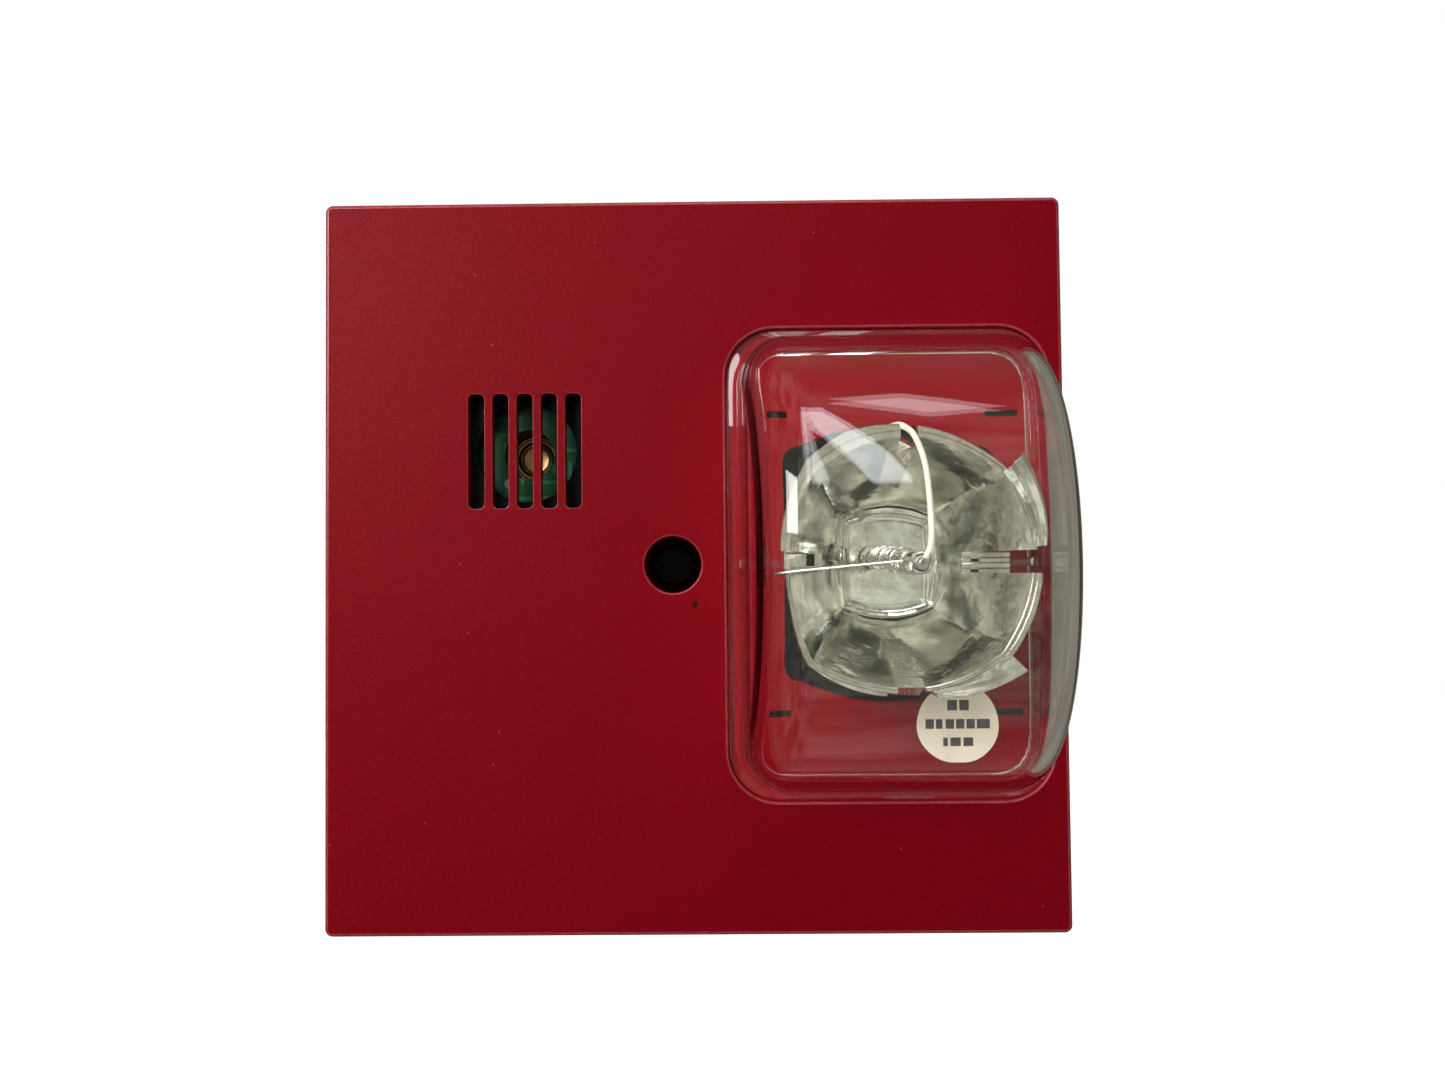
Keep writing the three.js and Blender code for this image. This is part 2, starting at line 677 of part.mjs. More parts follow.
function squareWasher(width, height, front, back, holeRadius) {
  return cut(block(width, height, front, back), bar(holeRadius, front - 1, back + 1, 0, 0, 12));
}

function terminalScrew() {
  const [end, seat] = [TERMINAL_TOP - 4, TERMINAL_SEAT];
  const shank = lathe([
    [0, end], [1.5, end], [1.5, seat], [2.9, seat], [2.9, seat + 1.4], [2.3, seat + 1.9], [0, seat + 1.9],
  ], 14);
  const slot = block(7, 0.8, seat + 1, seat + 3);
  return cut(shank, slot);
}

put(terminalGroup, 'terminal_block', terminalBody(), 'black');
for (let i = 0; i < TERMINAL_COUNT; i++) {
  const contact = squareWasher(6.6, 9, TERMINAL_TOP + GAP, TERMINAL_TOP + 1.1, 2);
  const clamp = squareWasher(6, 7, TERMINAL_TOP + 1.4, TERMINAL_TOP + 2.2, 1.9);
  put(terminalGroup, `terminal_contact_${i + 1}`, contact, 'brass', terminalX(i));
  put(terminalGroup, `wire_clamp_${i + 1}`, clamp, 'steel', terminalX(i));
  put(terminalGroup, `terminal_screw_${i + 1}`, terminalScrew(), 'steel', terminalX(i));
}

// ---- tone selector switch ----

function switchX(i) {
  return (i - (SWITCH_COUNT - 1) / 2) * SWITCH_PITCH;
}

function switchBody() {
  const body = block(6.2, 6.4, PARTS_FRONT, 11.5);
  const windows = [];
  for (let i = 0; i < SWITCH_COUNT; i++) {
    windows.push(block(1.6, 1.6 + SWITCH_TRAVEL + 2 * GAP, 10, 12, switchX(i), 0));
  }
  return cut(body, ...windows);
}

put(switchGroup, 'tone_switch', switchBody(), 'black');
for (let i = 0; i < SWITCH_COUNT; i++) {
  const slider = block(1, 1.6, 10.3, 12.3);
  put(switchGroup, `tone_slider_${i + 1}`, slider, 'white', switchX(i), 0, -SWITCH_TRAVEL / 2);
}

// ---- rear housing and its screws ----

function rearHousing() {
  const outline = (inset) => roundedRect(
    FACE_WIDTH - 2 * WALL - 2 * GAP - 2 * inset, FACE_HEIGHT - 2 * WALL - 2 * GAP - 2 * inset, 0.5,
  );
  const tray = slab(outline(0), HOUSING_FRONT - 4, HOUSING_BACK);
  const hollow = slab(outline(1.3), HOUSING_FRONT - 5, HOUSING_FRONT);
  const opening = (width, height, x, z) => (
    slab(roundedRect(width, height, 2, x, z), HOUSING_FRONT - 1, HOUSING_BACK + 1)
  );
  const screwHoles = cornerPlaces(CORNER_X, CORNER_Z).map(([x, z]) => (
    bar(1.7, HOUSING_FRONT - 1, HOUSING_BACK + 1, x, z, 12)
  ));
  return cut(
    tray,
    hollow,
    opening(40, 18, TERMINAL_X, TERMINAL_Z),
    opening(11, 11, SWITCH_X, SWITCH_Z),
    bar(5.4, HOUSING_FRONT - 1, HOUSING_BACK + 1, SCREW_X, 0, 20),
    ...screwHoles,
  );
}

put(frontUnit, 'rear_housing', rearHousing(), 'black');

cornerPlaces(CORNER_X, CORNER_Z).forEach(([x, z], i) => {
  const [end, seat, top] = [17, HOUSING_BACK + GAP, HOUSING_BACK + 1.8];
  const screw = lathe([[0, end], [1, end], [1, seat], [2.8, seat], [2.4, top], [0, top]], 12);
  put(frontUnit, `housing_screw_${i + 1}`, screw, 'steel', x, 0, z);
});

// ---- captive mounting screw ----

const captiveScrew = new THREE.Group();
captiveScrew.position.set(SCREW_X, 0, 0);
frontUnit.add(captiveScrew);

function mountingScrew() {
  const headBack = SEAT_FRONT - GAP;
  const body = lathe([
    [0, headBack - 2.6], [3, headBack - 2.6], [3.5, headBack - 2], [3.5, headBack],
    [1.75, headBack], [1.75, INSERT_BACK - 0.6], [1.2, INSERT_BACK], [0, INSERT_BACK],
  ], 18);
  return cut(body, block(9, 1, headBack - 4, headBack - 1.4));
}

put(captiveScrew, 'mounting_screw', mountingScrew(), 'darkSteel');
put(captiveScrew, 'retaining_washer', ring(4, 2.05, 24, 24.8, 16), 'steel');

// ---- mounting plate ----

// A slot for a box screw, turned about its own middle.
function boxSlot(x, z, angle = 0) {
  const [length, width] = BOX_SLOT;
  const shape = roundedRect(length, width, width / 2 - 0.01);
  return slab(shape, PLATE_FRONT - 4, PLATE_BACK + 1).rotateY(-angle).translate(x, 0, z);
}

function mountingPlate() {
  const sheet = slab(roundedRect(PLATE_WIDTH, PLATE_HEIGHT, 2), PLATE_LIP, PLATE_BACK);
  const dish = slab(
    roundedRect(PLATE_WIDTH - 3.2, PLATE_HEIGHT - 3.2, 1), PLATE_LIP - 1, PLATE_FRONT,
  );
  const boss = bar(4.8, INSERT_BOSS_FRONT, PLATE_FRONT + 0.5, SCREW_X, 0, 20);
  const wireOpening = slab(roundedRect(40, 24, 3, TERMINAL_X, -26), PLATE_FRONT - 1, PLATE_BACK + 1);
  return cut(
    join(cut(sheet, dish), boss),
    wireOpening,
    bar(INSERT_RADIUS + GAP, INSERT_BOSS_FRONT - 1, INSERT_BACK + GAP, SCREW_X, 0, 16),
    boxSlot(0, BOX_SCREW_Z),
    boxSlot(0, -BOX_SCREW_Z),
    boxSlot(-OCTAGON_OFFSET, OCTAGON_OFFSET, Math.PI / 4),
    boxSlot(OCTAGON_OFFSET, -OCTAGON_OFFSET, Math.PI / 4),
  );
}

put(plateGroup, 'mounting_plate', mountingPlate(), 'black');
put(
  plateGroup, 'threaded_insert',
  ring(INSERT_RADIUS, 2.05, INSERT_BOSS_FRONT + GAP, INSERT_BACK, 16), 'brass', SCREW_X,
);

export default hornStrobe;
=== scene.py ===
"""Looks of a wall-mounted horn strobe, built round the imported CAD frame.

Shapes are worked out in millimetres as (x, depth, z): depth is how far a point lies behind the
cover's face, so what stands out of the face has a negative depth. The wall is at the back.
"""

import json
import math
from contextlib import contextmanager

import bmesh
import bpy
import numpy as np
from mathutils import Matrix, Vector
from mathutils.geometry import delaunay_2d_cdt


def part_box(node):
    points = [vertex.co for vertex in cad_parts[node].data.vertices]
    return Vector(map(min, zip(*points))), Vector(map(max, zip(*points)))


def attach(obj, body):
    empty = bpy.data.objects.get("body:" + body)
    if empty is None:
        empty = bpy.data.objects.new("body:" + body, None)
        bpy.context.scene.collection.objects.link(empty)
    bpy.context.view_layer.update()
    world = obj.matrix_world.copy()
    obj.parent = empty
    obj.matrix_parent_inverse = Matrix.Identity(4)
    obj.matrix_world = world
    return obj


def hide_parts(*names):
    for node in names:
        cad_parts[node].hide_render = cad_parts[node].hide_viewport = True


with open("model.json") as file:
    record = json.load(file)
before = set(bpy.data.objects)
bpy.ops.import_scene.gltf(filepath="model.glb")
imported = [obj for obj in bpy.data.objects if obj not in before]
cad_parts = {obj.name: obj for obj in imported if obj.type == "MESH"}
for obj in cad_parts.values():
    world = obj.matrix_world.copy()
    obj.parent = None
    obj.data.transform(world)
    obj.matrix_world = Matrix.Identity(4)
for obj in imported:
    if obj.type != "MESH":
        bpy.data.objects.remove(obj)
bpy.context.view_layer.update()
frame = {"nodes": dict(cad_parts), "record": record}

MM = 0.001
MERGE_DISTANCE = 0.0002 * MM
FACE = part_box("front_cover")[0].y / MM
FRONT = "front_unit"


def extent(node):
    """A CAD node's box in millimetres, as (low, high) pairs of x, depth and z."""
    low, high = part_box(node)
    return [(low[i] / MM - shift, high[i] / MM - shift) for i, shift in enumerate((0, FACE, 0))]


def middle(pair):
    return (pair[0] + pair[1]) / 2


def size(pair):
    return pair[1] - pair[0]


# ---- driving dimensions, in millimetres ----

cover_x, cover_depth, cover_z = extent("front_cover")
lens_x, lens_depth, lens_z = extent("lens")
gasket_x, _, gasket_z = extent("sound_gasket")

WIDTH, HEIGHT, COVER_BACK = size(cover_x), size(cover_z), cover_depth[1]
WALL = 2.2
EDGE_RADIUS = 1.2

HORN_X, HORN_Z = middle(gasket_x), middle(gasket_z)
SLOT_COUNT, SLOT_PITCH, SLOT_WIDTH, SLOT_LENGTH, SLOT_CORNER = 5, 3.76, 2.5, 17.8, 0.8

SCREW_X = middle(extent("mounting_screw")[0])
ACCESS_RADIUS, SLEEVE_RADIUS, SEAT_HOLE = 4.4, 6.2, 2.3
SEAT_FRONT, SEAT_BACK = 17, 18.8

LENS_X, LENS_BOTTOM = middle(lens_x), lens_z[0]
FLANGE_WIDTH, FLANGE_HEIGHT, FLANGE_CORNER = size(lens_x), size(lens_z), 7.4
FLANGE_FRONT, FLANGE_BACK = 0.1, lens_depth[1]
DOME_HALF_WIDTH, DOME_HALF_HEIGHT = FLANGE_WIDTH / 2 - 1.4, FLANGE_HEIGHT / 2 - 1.4
DOME_REACH, DOME_WALL = -lens_depth[0], 1.6
DOME_DRAFT = math.tan(math.radians(4))
DOME_SHOULDER = 6.5
POCKET_GAP, POCKET_DEPTH, POCKET_BACK = 0.3, 2, 4

REFLECTOR_X = 30
BOTTOM_DEPTH, RIM_DEPTH = 3.4, -16
REFLECTOR_WALL = 1.2

# The opening in the pocket's floor round the reflector, and the narrow slots off its corners.
WINDOW_SIDE, WINDOW_CORNER, WINDOW_END = 17, 15, 21.5
NARROW_X, NARROW_Z, NARROW_WIDTH, NARROW_HEIGHT = 18.05, 23.2, 5.2, 1
BACKING_LEFT, BACKING_HEIGHT = 3, 77.2

# Bosses inside the cover: radius, the depth they reach back to and the depth of the screw hole's end.
CORNER_X, CORNER_Z = 48.5, 48
CORNER_BOSS, BOARD_BOSS = (3.5, 25.2, 15.5), (3, 5.1, 1.2)
BOARD_BOSSES = [(-48, 0), (0, -48)]
PILOT_RADIUS = 1.3

# A matte black sheet behind the reflector that paints the shade in the gap round it.
SHADE_SHEET_WIDTH, SHADE_SHEET_HEIGHT, SHADE_SHEET_CORNER, SHADE_SHEET_HOLE = 44, 50, 12, 5
SHADE_SHEET_FRONT, SHADE_SHEET_BACK = 5.0, 5.3

# ---- mesh toolkit ----


def rounded_rect(width, height, radius, x, z, steps=6):
    """Corner points of a rectangle with round corners, anticlockwise from its right side."""
    points = []
    for quarter, (sx, sz) in enumerate(((1, 1), (-1, 1), (-1, -1), (1, -1))):
        cx, cz = x + sx * (width / 2 - radius), z + sz * (height / 2 - radius)
        for k in range(steps + 1):
            angle = (quarter + k / steps) * math.pi / 2
            points.append((cx + radius * math.cos(angle), cz + radius * math.sin(angle)))
    return points


def circle(radius, x=0, z=0, count=32):
    angles = [2 * math.pi * i / count for i in range(count)]
    return [(x + radius * math.cos(a), z + radius * math.sin(a)) for a in angles]


def growing_rect(width, height, radius, x=0, z=0, steps=6, least=0.01):
    """A rounded rectangle as a function of how far its outline is grown."""
    return lambda grow: rounded_rect(
        width + 2 * grow, height + 2 * grow, max(radius + grow, least), x, z, steps,
    )


def growing_circle(radius, x, z, count):
    return lambda grow: circle(radius + grow, x, z, count)


def soften(corners, steps=3):
    """A profile of (grow, depth) points from (grow, depth, radius) corners turned into arcs."""
    points = []
    for i, (grow, depth, radius) in enumerate(corners):
        here = Vector((grow, depth))
        if radius == 0:
            points.append(here)
            continue
        before = (Vector(corners[i - 1][:2]) - here).normalized()
        after = (Vector(corners[(i + 1) % len(corners)][:2]) - here).normalized()
        for k in range(steps + 1):
            turn = k / steps * math.pi / 2
            points.append(here + radius * (before * (1 - math.sin(turn)) + after * (1 - math.cos(turn))))
    return [p for i, p in enumerate(points) if i == 0 or (p - points[i - 1]).length > 1e-4]


def inside(point, polygon):
    x, y = point
    hit = False
    for (ax, ay), (bx, by) in zip(polygon, polygon[1:] + polygon[:1]):
        if (ay > y) != (by > y) and x < (bx - ax) * (y - ay) / (by - ay) + ax:
            hit = not hit
    return hit


def linked(name, data):
    """A new object, put in the scene."""
    made = bpy.data.objects.new(name, data)
    bpy.context.scene.collection.objects.link(made)
    return made


@contextmanager
def editing(mesh):
    """An editable copy of a mesh, written back at the end."""
    work = bmesh.new()
    work.from_mesh(mesh)
    yield work
    work.to_mesh(mesh)
    work.free()


def mark_sharp(work, limit):
    """Marks the edges whose two faces meet at more than a limit in degrees."""
    for edge in work.edges:
        if len(edge.link_faces) == 2:
            edge.smooth = edge.calc_face_angle() < math.radians(limit)


def round_edges(piece, width, limit):
    """Small radii that catch the light along edges sharper than a limit in degrees."""
    edges = piece.modifiers.new("edges", "BEVEL")
    edges.width = width * MM
    edges.segments = 2
    edges.limit_method = "ANGLE"
    edges.angle_limit = math.radians(limit)
    edges.harden_normals = True


def even_normals(piece):
    piece.modifiers.new("normals", "WEIGHTED_NORMAL").keep_sharp = True


class Shell:
    """Collects the vertices and faces of one piece, in millimetres."""

    def __init__(self):
        self.points = []
        self.faces = []
        self.looks = []
        self.look = 0
        self.place = Matrix.Identity(4)

    def add(self, points):
        first = len(self.points)
        self.points += [self.place @ Vector(p) for p in points]
        return list(range(first, len(self.points)))

    def face(self, *corners):
        self.faces.append(corners)
        self.looks.append(self.look)

    def ring(self, outline, depth):
        return self.add([(x, depth, z) for x, z in outline])

    def band(self, low, high, closed=True):
        count = len(low) if closed else len(low) - 1
        for i in range(count):
            j = (i + 1) % len(low)
            self.face(low[i], low[j], high[j], high[i])

    def bands(self, rings, closed=True):
        for low, high in zip(rings, rings[1:]):
            self.band(low, high, closed)

    def sweep(self, outline, corners, lip=0, steps=3):
        """Walls through the outline, grown and set back along a softened profile; its end rings.

        The first bands, as many as lip says, wear the piece's second look.
        """
        rings = [self.ring(outline(grow), depth) for grow, depth in soften(corners, steps)]
        look, self.look = self.look, 1
        self.bands(rings[:lip + 1])
        self.look = look
        self.bands(rings[lip:])
        return rings[0], rings[-1]

    def fan(self, ring, tip):
        centre = self.add([tip])[0]
        for i, corner in enumerate(ring):
            self.face(corner, ring[(i + 1) % len(ring)], centre)

    def fill(self, outer, *holes):
        """A flat face from an outer ring to the rings of its holes."""
        loops = [outer, *holes]
        index = [i for loop in loops for i in loop]
        flat = [Vector((self.points[i].x, self.points[i].z)) for i in index]
        outlines, edges, start = [], [], 0
        for loop in loops:
            stop = start + len(loop)
            outlines.append([tuple(p) for p in flat[start:stop]])
            edges += [(i, i + 1 if i + 1 < stop else start) for i in range(start, stop)]
            start = stop
        found = delaunay_2d_cdt(flat, edges, [], 0, 1e-5)
        origin = [index[sources[0]] for sources in found[3]]
        for triangle in found[2]:
            centre = sum((found[0][i] for i in triangle), Vector((0, 0))) / 3
            if inside(centre, outlines[0]) and not any(inside(centre, o) for o in outlines[1:]):
                self.face(*[origin[i] for i in triangle])

    def lid(self, ring):
        self.face(*ring)

    def capped(self, rings, first_tip, last_tip):
        """Walls through the rings, closed to a point at each end."""
        self.bands(rings)
        self.fan(rings[0], first_tip)
        self.fan(rings[-1], last_tip)

    def turned(self, profile, count):
        """A turned body about the local Y axis from (radius, depth) points that start and end on it."""
        rings = [self.ring(circle(radius, count=count), depth) for radius, depth in profile[1:-1]]
        self.capped(rings, (0, profile[0][1], 0), (0, profile[-1][1], 0))

    def prism(self, outline, front, back, edge):
        """A slab with softened edges."""
        profile = [(-edge, front, 0), (0, front, edge), (0, back, edge), (-edge, back, 0)]
        first, last = self.sweep(outline, profile, steps=2)
        self.lid(first)
        self.lid(last)

    def box(self, x, depth, z, edge):
        """A block with softened edges, from (low, high) pairs."""
        outline = growing_rect(size(x), size(z), edge, middle(x), middle(z), 2)
        self.prism(outline, depth[0], depth[1], edge)

    def tube(self, path, radius, sides):
        """A round wire along a list of points."""
        points = [Vector(p) for p in path]
        side = None
        rings = []
        for i, point in enumerate(points):
            ahead = (points[min(i + 1, len(points) - 1)] - points[max(i - 1, 0)]).normalized()
            if side is None:
                side = ahead.orthogonal().normalized()
            side = (side - ahead * side.dot(ahead)).normalized()
            other = ahead.cross(side)
            angles = [2 * math.pi * k / sides for k in range(sides)]
            rings.append(self.add([
                point + radius * (side * math.cos(a) + other * math.sin(a)) for a in angles
            ]))
        self.capped(rings, points[0], points[-1])

    def mesh(self, name):
        made = bpy.data.meshes.new(name)
        made.from_pydata([(p.x * MM, (FACE + p.y) * MM, p.z * MM) for p in self.points], [], self.faces)
        return made

    def build(self, name, slot, replaces=(), looks=None, sharp=35, weighted=True):
        """Makes the piece, in its slot's look unless others are given, and fixes it to the front unit."""
        mesh = self.mesh(name)
        for look in looks or [LOOKS[slot]]:
            mesh.materials.append(look)
        mesh.polygons.foreach_set("material_index", self.looks)
        with editing(mesh) as work:
            bmesh.ops.remove_doubles(work, verts=work.verts, dist=MERGE_DISTANCE)
            bmesh.ops.dissolve_degenerate(work, edges=work.edges, dist=MERGE_DISTANCE)
            bmesh.ops.recalc_face_normals(work, faces=work.faces)
            mark_sharp(work, sharp)
            for face in work.faces:
                face.smooth = True
        piece = linked(name, mesh)
        if weighted:
            even_normals(piece)
        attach(piece, FRONT)
        if replaces:
            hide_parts(*replaces)
        return piece


def smooth_path(points):
    """Points along a Catmull-Rom curve through the given ones."""
    steps = 8
    knots = [Vector(p) for p in points]
    knots = [2 * knots[0] - knots[1], *knots, 2 * knots[-1] - knots[-2]]
    path = []
    for a, b, c, d in zip(knots, knots[1:], knots[2:], knots[3:]):
        for k in range(steps):
            t = k / steps
            path.append(0.5 * (2 * b + (c - a) * t + (2 * a - 5 * b + 4 * c - d) * t * t
                               + (3 * b - a - 3 * c + d) * t ** 3))
    return [*path, knots[-2]]


def corner_places(x, z):
    return [(-x, -z), (-x, z), (x, -z), (x, z)]


# ---- materials ----


class Nodes:
    """A node tree, with short ways to add nodes to it and join them."""

    def __init__(self, tree):
        self.tree = tree

    def feed(self, socket, value):
        if isinstance(value, bpy.types.NodeSocket):
            self.tree.links.new(value, socket)
        else:
            socket.default_value = value

    def node(self, kind, **inputs):
        made = self.tree.nodes.new(kind)
        for name, value in inputs.items():
            self.feed(made.inputs[name.replace("_", " ")], value)
        return made

    def maths(self, operation, *values):
        made = self.node("ShaderNodeMath")
        made.operation = operation
        for socket, value in zip(made.inputs, values):
            self.feed(socket, value)
        return made.outputs[0]

    def ramp(self, value, *stops):
        """A smooth map of a value to grey levels or colours, from (position, level) stops."""
        made = self.node("ShaderNodeValToRGB", Fac=value)
        while len(made.color_ramp.elements) < len(stops):
            made.color_ramp.elements.new(1)
        for element, (position, level) in zip(made.color_ramp.elements, stops):
            element.position = position
            element.color = (*level, 1) if isinstance(level, tuple) else (level, level, level, 1)
        return made.outputs["Color"]

    def either(self, choice, a, b):
        """Shader b where the choice is one, shader a where it is zero."""
        made = self.node("ShaderNodeMixShader")
        for socket, value in zip(made.inputs, (choice, a, b)):
            self.feed(socket, value)
        return made.outputs[0]


class Look(Nodes):
    """A procedural material, with short names for what it is made of."""

    def __init__(self, name, colour, roughness, metallic=0.0, **sockets):
        self.name = name
        self.material = bpy.data.materials.new(name)
        self.material.use_nodes = True
        super().__init__(self.material.node_tree)
        self.shader = self.tree.nodes["Principled BSDF"]
        self.shader.inputs["Base Color"].default_value = (*colour, 1)
        self.shader.inputs["Roughness"].default_value = roughness
        self.shader.inputs["Metallic"].default_value = metallic
        for socket, value in sockets.items():
            self.shader.inputs[socket.replace("_", " ")].default_value = value
        self.colour = colour
        self.where = self.node("ShaderNodeTexCoord").outputs["Object"]

    def stretched(self, x, y, z):
        return self.node("ShaderNodeMapping", Vector=self.where, Scale=(x, y, z)).outputs["Vector"]

    def noise(self, grain, detail, where=None):
        """Cloudy noise whose lumps are about grain millimetres across."""
        made = self.node(
            "ShaderNodeTexNoise", Vector=where or self.where, Scale=1 / (grain * MM), Detail=detail,
        )
        return made.outputs["Fac"]

    def cells(self, grain):
        """Distance to the nearest of points about grain millimetres apart."""
        made = self.node("ShaderNodeTexVoronoi", Vector=self.where, Scale=1 / (grain * MM))
        return made.outputs["Distance"]

    def axis(self, name):
        return self.node("ShaderNodeSeparateXYZ", Vector=self.where).outputs[name]

    def between(self, value, low, high):
        """One where a value lies between two limits, zero elsewhere."""
        above = self.maths("GREATER_THAN", value, low)
        return self.maths("MULTIPLY", above, self.maths("LESS_THAN", value, high))

    def blend(self, amount, a, b):
        made = self.node("ShaderNodeMix")
        made.data_type = "RGBA"
        sockets = [s for s in made.inputs if s.type == "RGBA"]
        self.feed(made.inputs[0], amount)
        for socket, value in zip(sockets, (a, b)):
            self.feed(socket, (*value, 1) if isinstance(value, tuple) else value)
        return [s for s in made.outputs if s.type == "RGBA"][0]

    def tint(self, amount, other):
        """Mixes another colour over the base colour so far."""
        socket = self.shader.inputs["Base Color"]
        under = socket.links[0].from_socket if socket.is_linked else self.colour
        self.feed(socket, self.blend(amount, under, other))
        return self

    def patches(self, grain, detail, levels, amount, other):
        """Cloudy patches of another colour, which grow in between two levels of the noise."""
        grows = self.ramp(self.noise(grain, detail), (levels[0], 0.0), (levels[1], amount))
        return self.tint(grows, other)

    def gloss(self, value, low, high):
        """Roughness that follows a value, from low to high."""
        made = self.node("ShaderNodeMapRange", Value=value, To_Min=low, To_Max=high)
        self.feed(self.shader.inputs["Roughness"], made.outputs[0])
        return self

    def shine(self, grain, detail, low, high):
        """Cloudy roughness, from low to high."""
        return self.gloss(self.noise(grain, detail), low, high)

    def bump(self, height, distance, strength=1.0):
        """Relief in millimetres, on top of any relief so far."""
        made = self.node("ShaderNodeBump", Height=height, Distance=distance * MM, Strength=strength)
        socket = self.shader.inputs["Normal"]
        if socket.is_linked:
            self.feed(made.inputs["Normal"], socket.links[0].from_socket)
        self.feed(socket, made.outputs["Normal"])
        return self

    def relief(self, grain, detail, distance, strength=1.0):
        """Cloudy relief, in millimetres."""
        return self.bump(self.noise(grain, detail), distance, strength)

    def clear_to_lamps(self):
        """Lets the lamps light what stands behind clear material."""
        shadow = self.node("ShaderNodeLightPath").outputs["Is Shadow Ray"]
        see_through = self.node("ShaderNodeBsdfTransparent", Color=(0.88, 0.86, 0.88, 1))
        surface = self.either(shadow, self.shader.outputs[0], see_through.outputs[0])
        self.feed(self.tree.nodes["Material Output"].inputs["Surface"], surface)
        return self


def moulded(name, colour, roughness, grain, relief, mottle):
    """Moulded plastic: fine grain, slow shade changes and rub marks."""
    look = Look(name, colour, roughness)
    lighter = tuple(min(c * 1.5 + 0.01, 1) for c in colour)
    look.patches(9, 3, (0.35, 0.75), mottle, lighter)
    look.shine(2.5, 4, roughness - 0.07, roughness + 0.09)
    return look.relief(grain, 3, relief)


def metal(name, colour, roughness, stretch=(1, 1, 1), grain=0.25, stain=0.25):
    """Bare or plated metal: fine drawn marks and dull patches."""
    look = Look(name, colour, roughness, 1.0)
    marks = look.noise(grain, 3, look.stretched(*stretch))
    look.patches(1.6, 4, (0.4, 0.72), stain, tuple(c * 0.62 for c in colour))
    look.gloss(marks, roughness - 0.08, roughness + 0.14)
    return look.bump(marks, 0.004)


def cover_look():
    red = Look("cover_plastic", (0.205, 0.0009, 0.0055), 0.5, Specular_IOR_Level=0.06)
    red.patches(26, 3, (0.35, 0.8), 0.35, (0.24, 0.002, 0.009))
    red.patches(0.28, 2, (0.35, 0.7), 0.55, (0.14, 0.0006, 0.004))
    specks = red.ramp(red.cells(3.1), (0.0, 1.0), (0.035, 0.55), (0.05, 0.0))
    where_thick = red.ramp(red.noise(7, 1), (0.52, 0.0), (0.56, 0.8))
    red.tint(red.maths("MULTIPLY", specks, where_thick), (0.42, 0.1, 0.1))
    nick_place, nick_radius, nick_raggedness = (SCREW_X + 3.4, FACE, -6.1), 1.05, 1.1
    nick = red.node("ShaderNodeVectorMath", Vector=red.where)
    nick.operation = "DISTANCE"
    nick.inputs[1].default_value = [value * MM for value in nick_place]
    ragged = red.maths("MULTIPLY", red.noise(0.9, 3), nick_raggedness * MM)
    scrape = red.maths("ADD", nick.outputs["Value"], ragged)
    red.tint(red.maths("LESS_THAN", scrape, nick_radius * MM), (0.035, 0.004, 0.006))
    red.shine(1.4, 5, 0.40, 0.54)
    red.relief(0.3, 3, 0.045)
    return red.relief(14, 2, 0.12, 0.6)


def painted_edge_highlight_look():
    """The cover's moulded edges, smoother than its grained faces; their paler red is a painted highlight
    where the rounded edges catch the light.
    """
    edge = Look("cover_edge_painted_highlight", (0.30, 0.032, 0.042), 0.34)
    edge.patches(1.3, 4, (0.38, 0.66), 0.75, (0.22, 0.004, 0.012))
    edge.shine(0.6, 3, 0.26, 0.46)
    return edge.relief(0.3, 2, 0.012)


def clear_look():
    clear = Look("clear_polycarbonate", (0.985, 0.99, 0.985), 0.03, IOR=1.4, Transmission_Weight=1.0)
    scuffs = clear.noise(0.5, 5, clear.stretched(0.3, 1, 2.4))
    clear.gloss(clear.ramp(scuffs, (0.55, 0.0), (0.9, 1.0)), 0.012, 0.07)
    clear.relief(11, 1, 0.03, 0.4)
    return clear.clear_to_lamps()


def mirror_look():
    mirror = Look("metallized", (0.93, 0.93, 0.88), 0.07, 1.0)
    mirror.patches(3.2, 4, (0.42, 0.70), 0.6, (0.46, 0.45, 0.38))
    mirror.shine(0.8, 5, 0.03, 0.17)
    mirror.relief(3.1, 2, 0.085, 0.65)
    return mirror.relief(0.6, 2, 0.005, 0.5)


def flat_mirror_look():
    """The reflector's flat ledges and notches, duller than its polished bowl."""
    flat = Look("metallized_flat", (0.66, 0.64, 0.56), 0.22, 1.0)
    flat.patches(1.7, 4, (0.40, 0.70), 0.6, (0.42, 0.38, 0.32))
    flat.shine(0.5, 4, 0.14, 0.34)
    return flat.relief(0.9, 2, 0.012)


def shade_sheet_look():
    """Matte black that paints the shade seen behind the reflector."""
    shade_sheet = Look("painted_shade_black", (0.006, 0.006, 0.006), 0.7, Specular_IOR_Level=0.15)
    return shade_sheet.relief(0.6, 3, 0.01)


def glass_look():
    glass = Look("tube_glass", (0.97, 0.985, 0.98), 0.02, IOR=1.46, Transmission_Weight=1.0)
    glass.shine(0.6, 3, 0.01, 0.06)
    glass.relief(1.5, 2, 0.01, 0.5)
    return glass.clear_to_lamps()


def paper_look():
    paper = Look("label_paper", (0.93, 0.86, 0.68), 0.78)
    paper.patches(4, 4, (0.4, 0.75), 0.5, (0.72, 0.64, 0.49))
    fibres = paper.noise(0.12, 3, paper.stretched(1, 1, 0.35))
    paper.tint(paper.ramp(fibres, (0.55, 0.0), (0.8, 0.25)), (0.86, 0.82, 0.72))
    return paper.bump(fibres, 0.01)


def ink_look():
    ink = Look("label_ink", (0.035, 0.032, 0.03), 0.6)
    ink.patches(0.16, 3, (0.5, 0.72), 0.55, (0.3, 0.26, 0.2))
    return ink.relief(0.1, 2, 0.004)


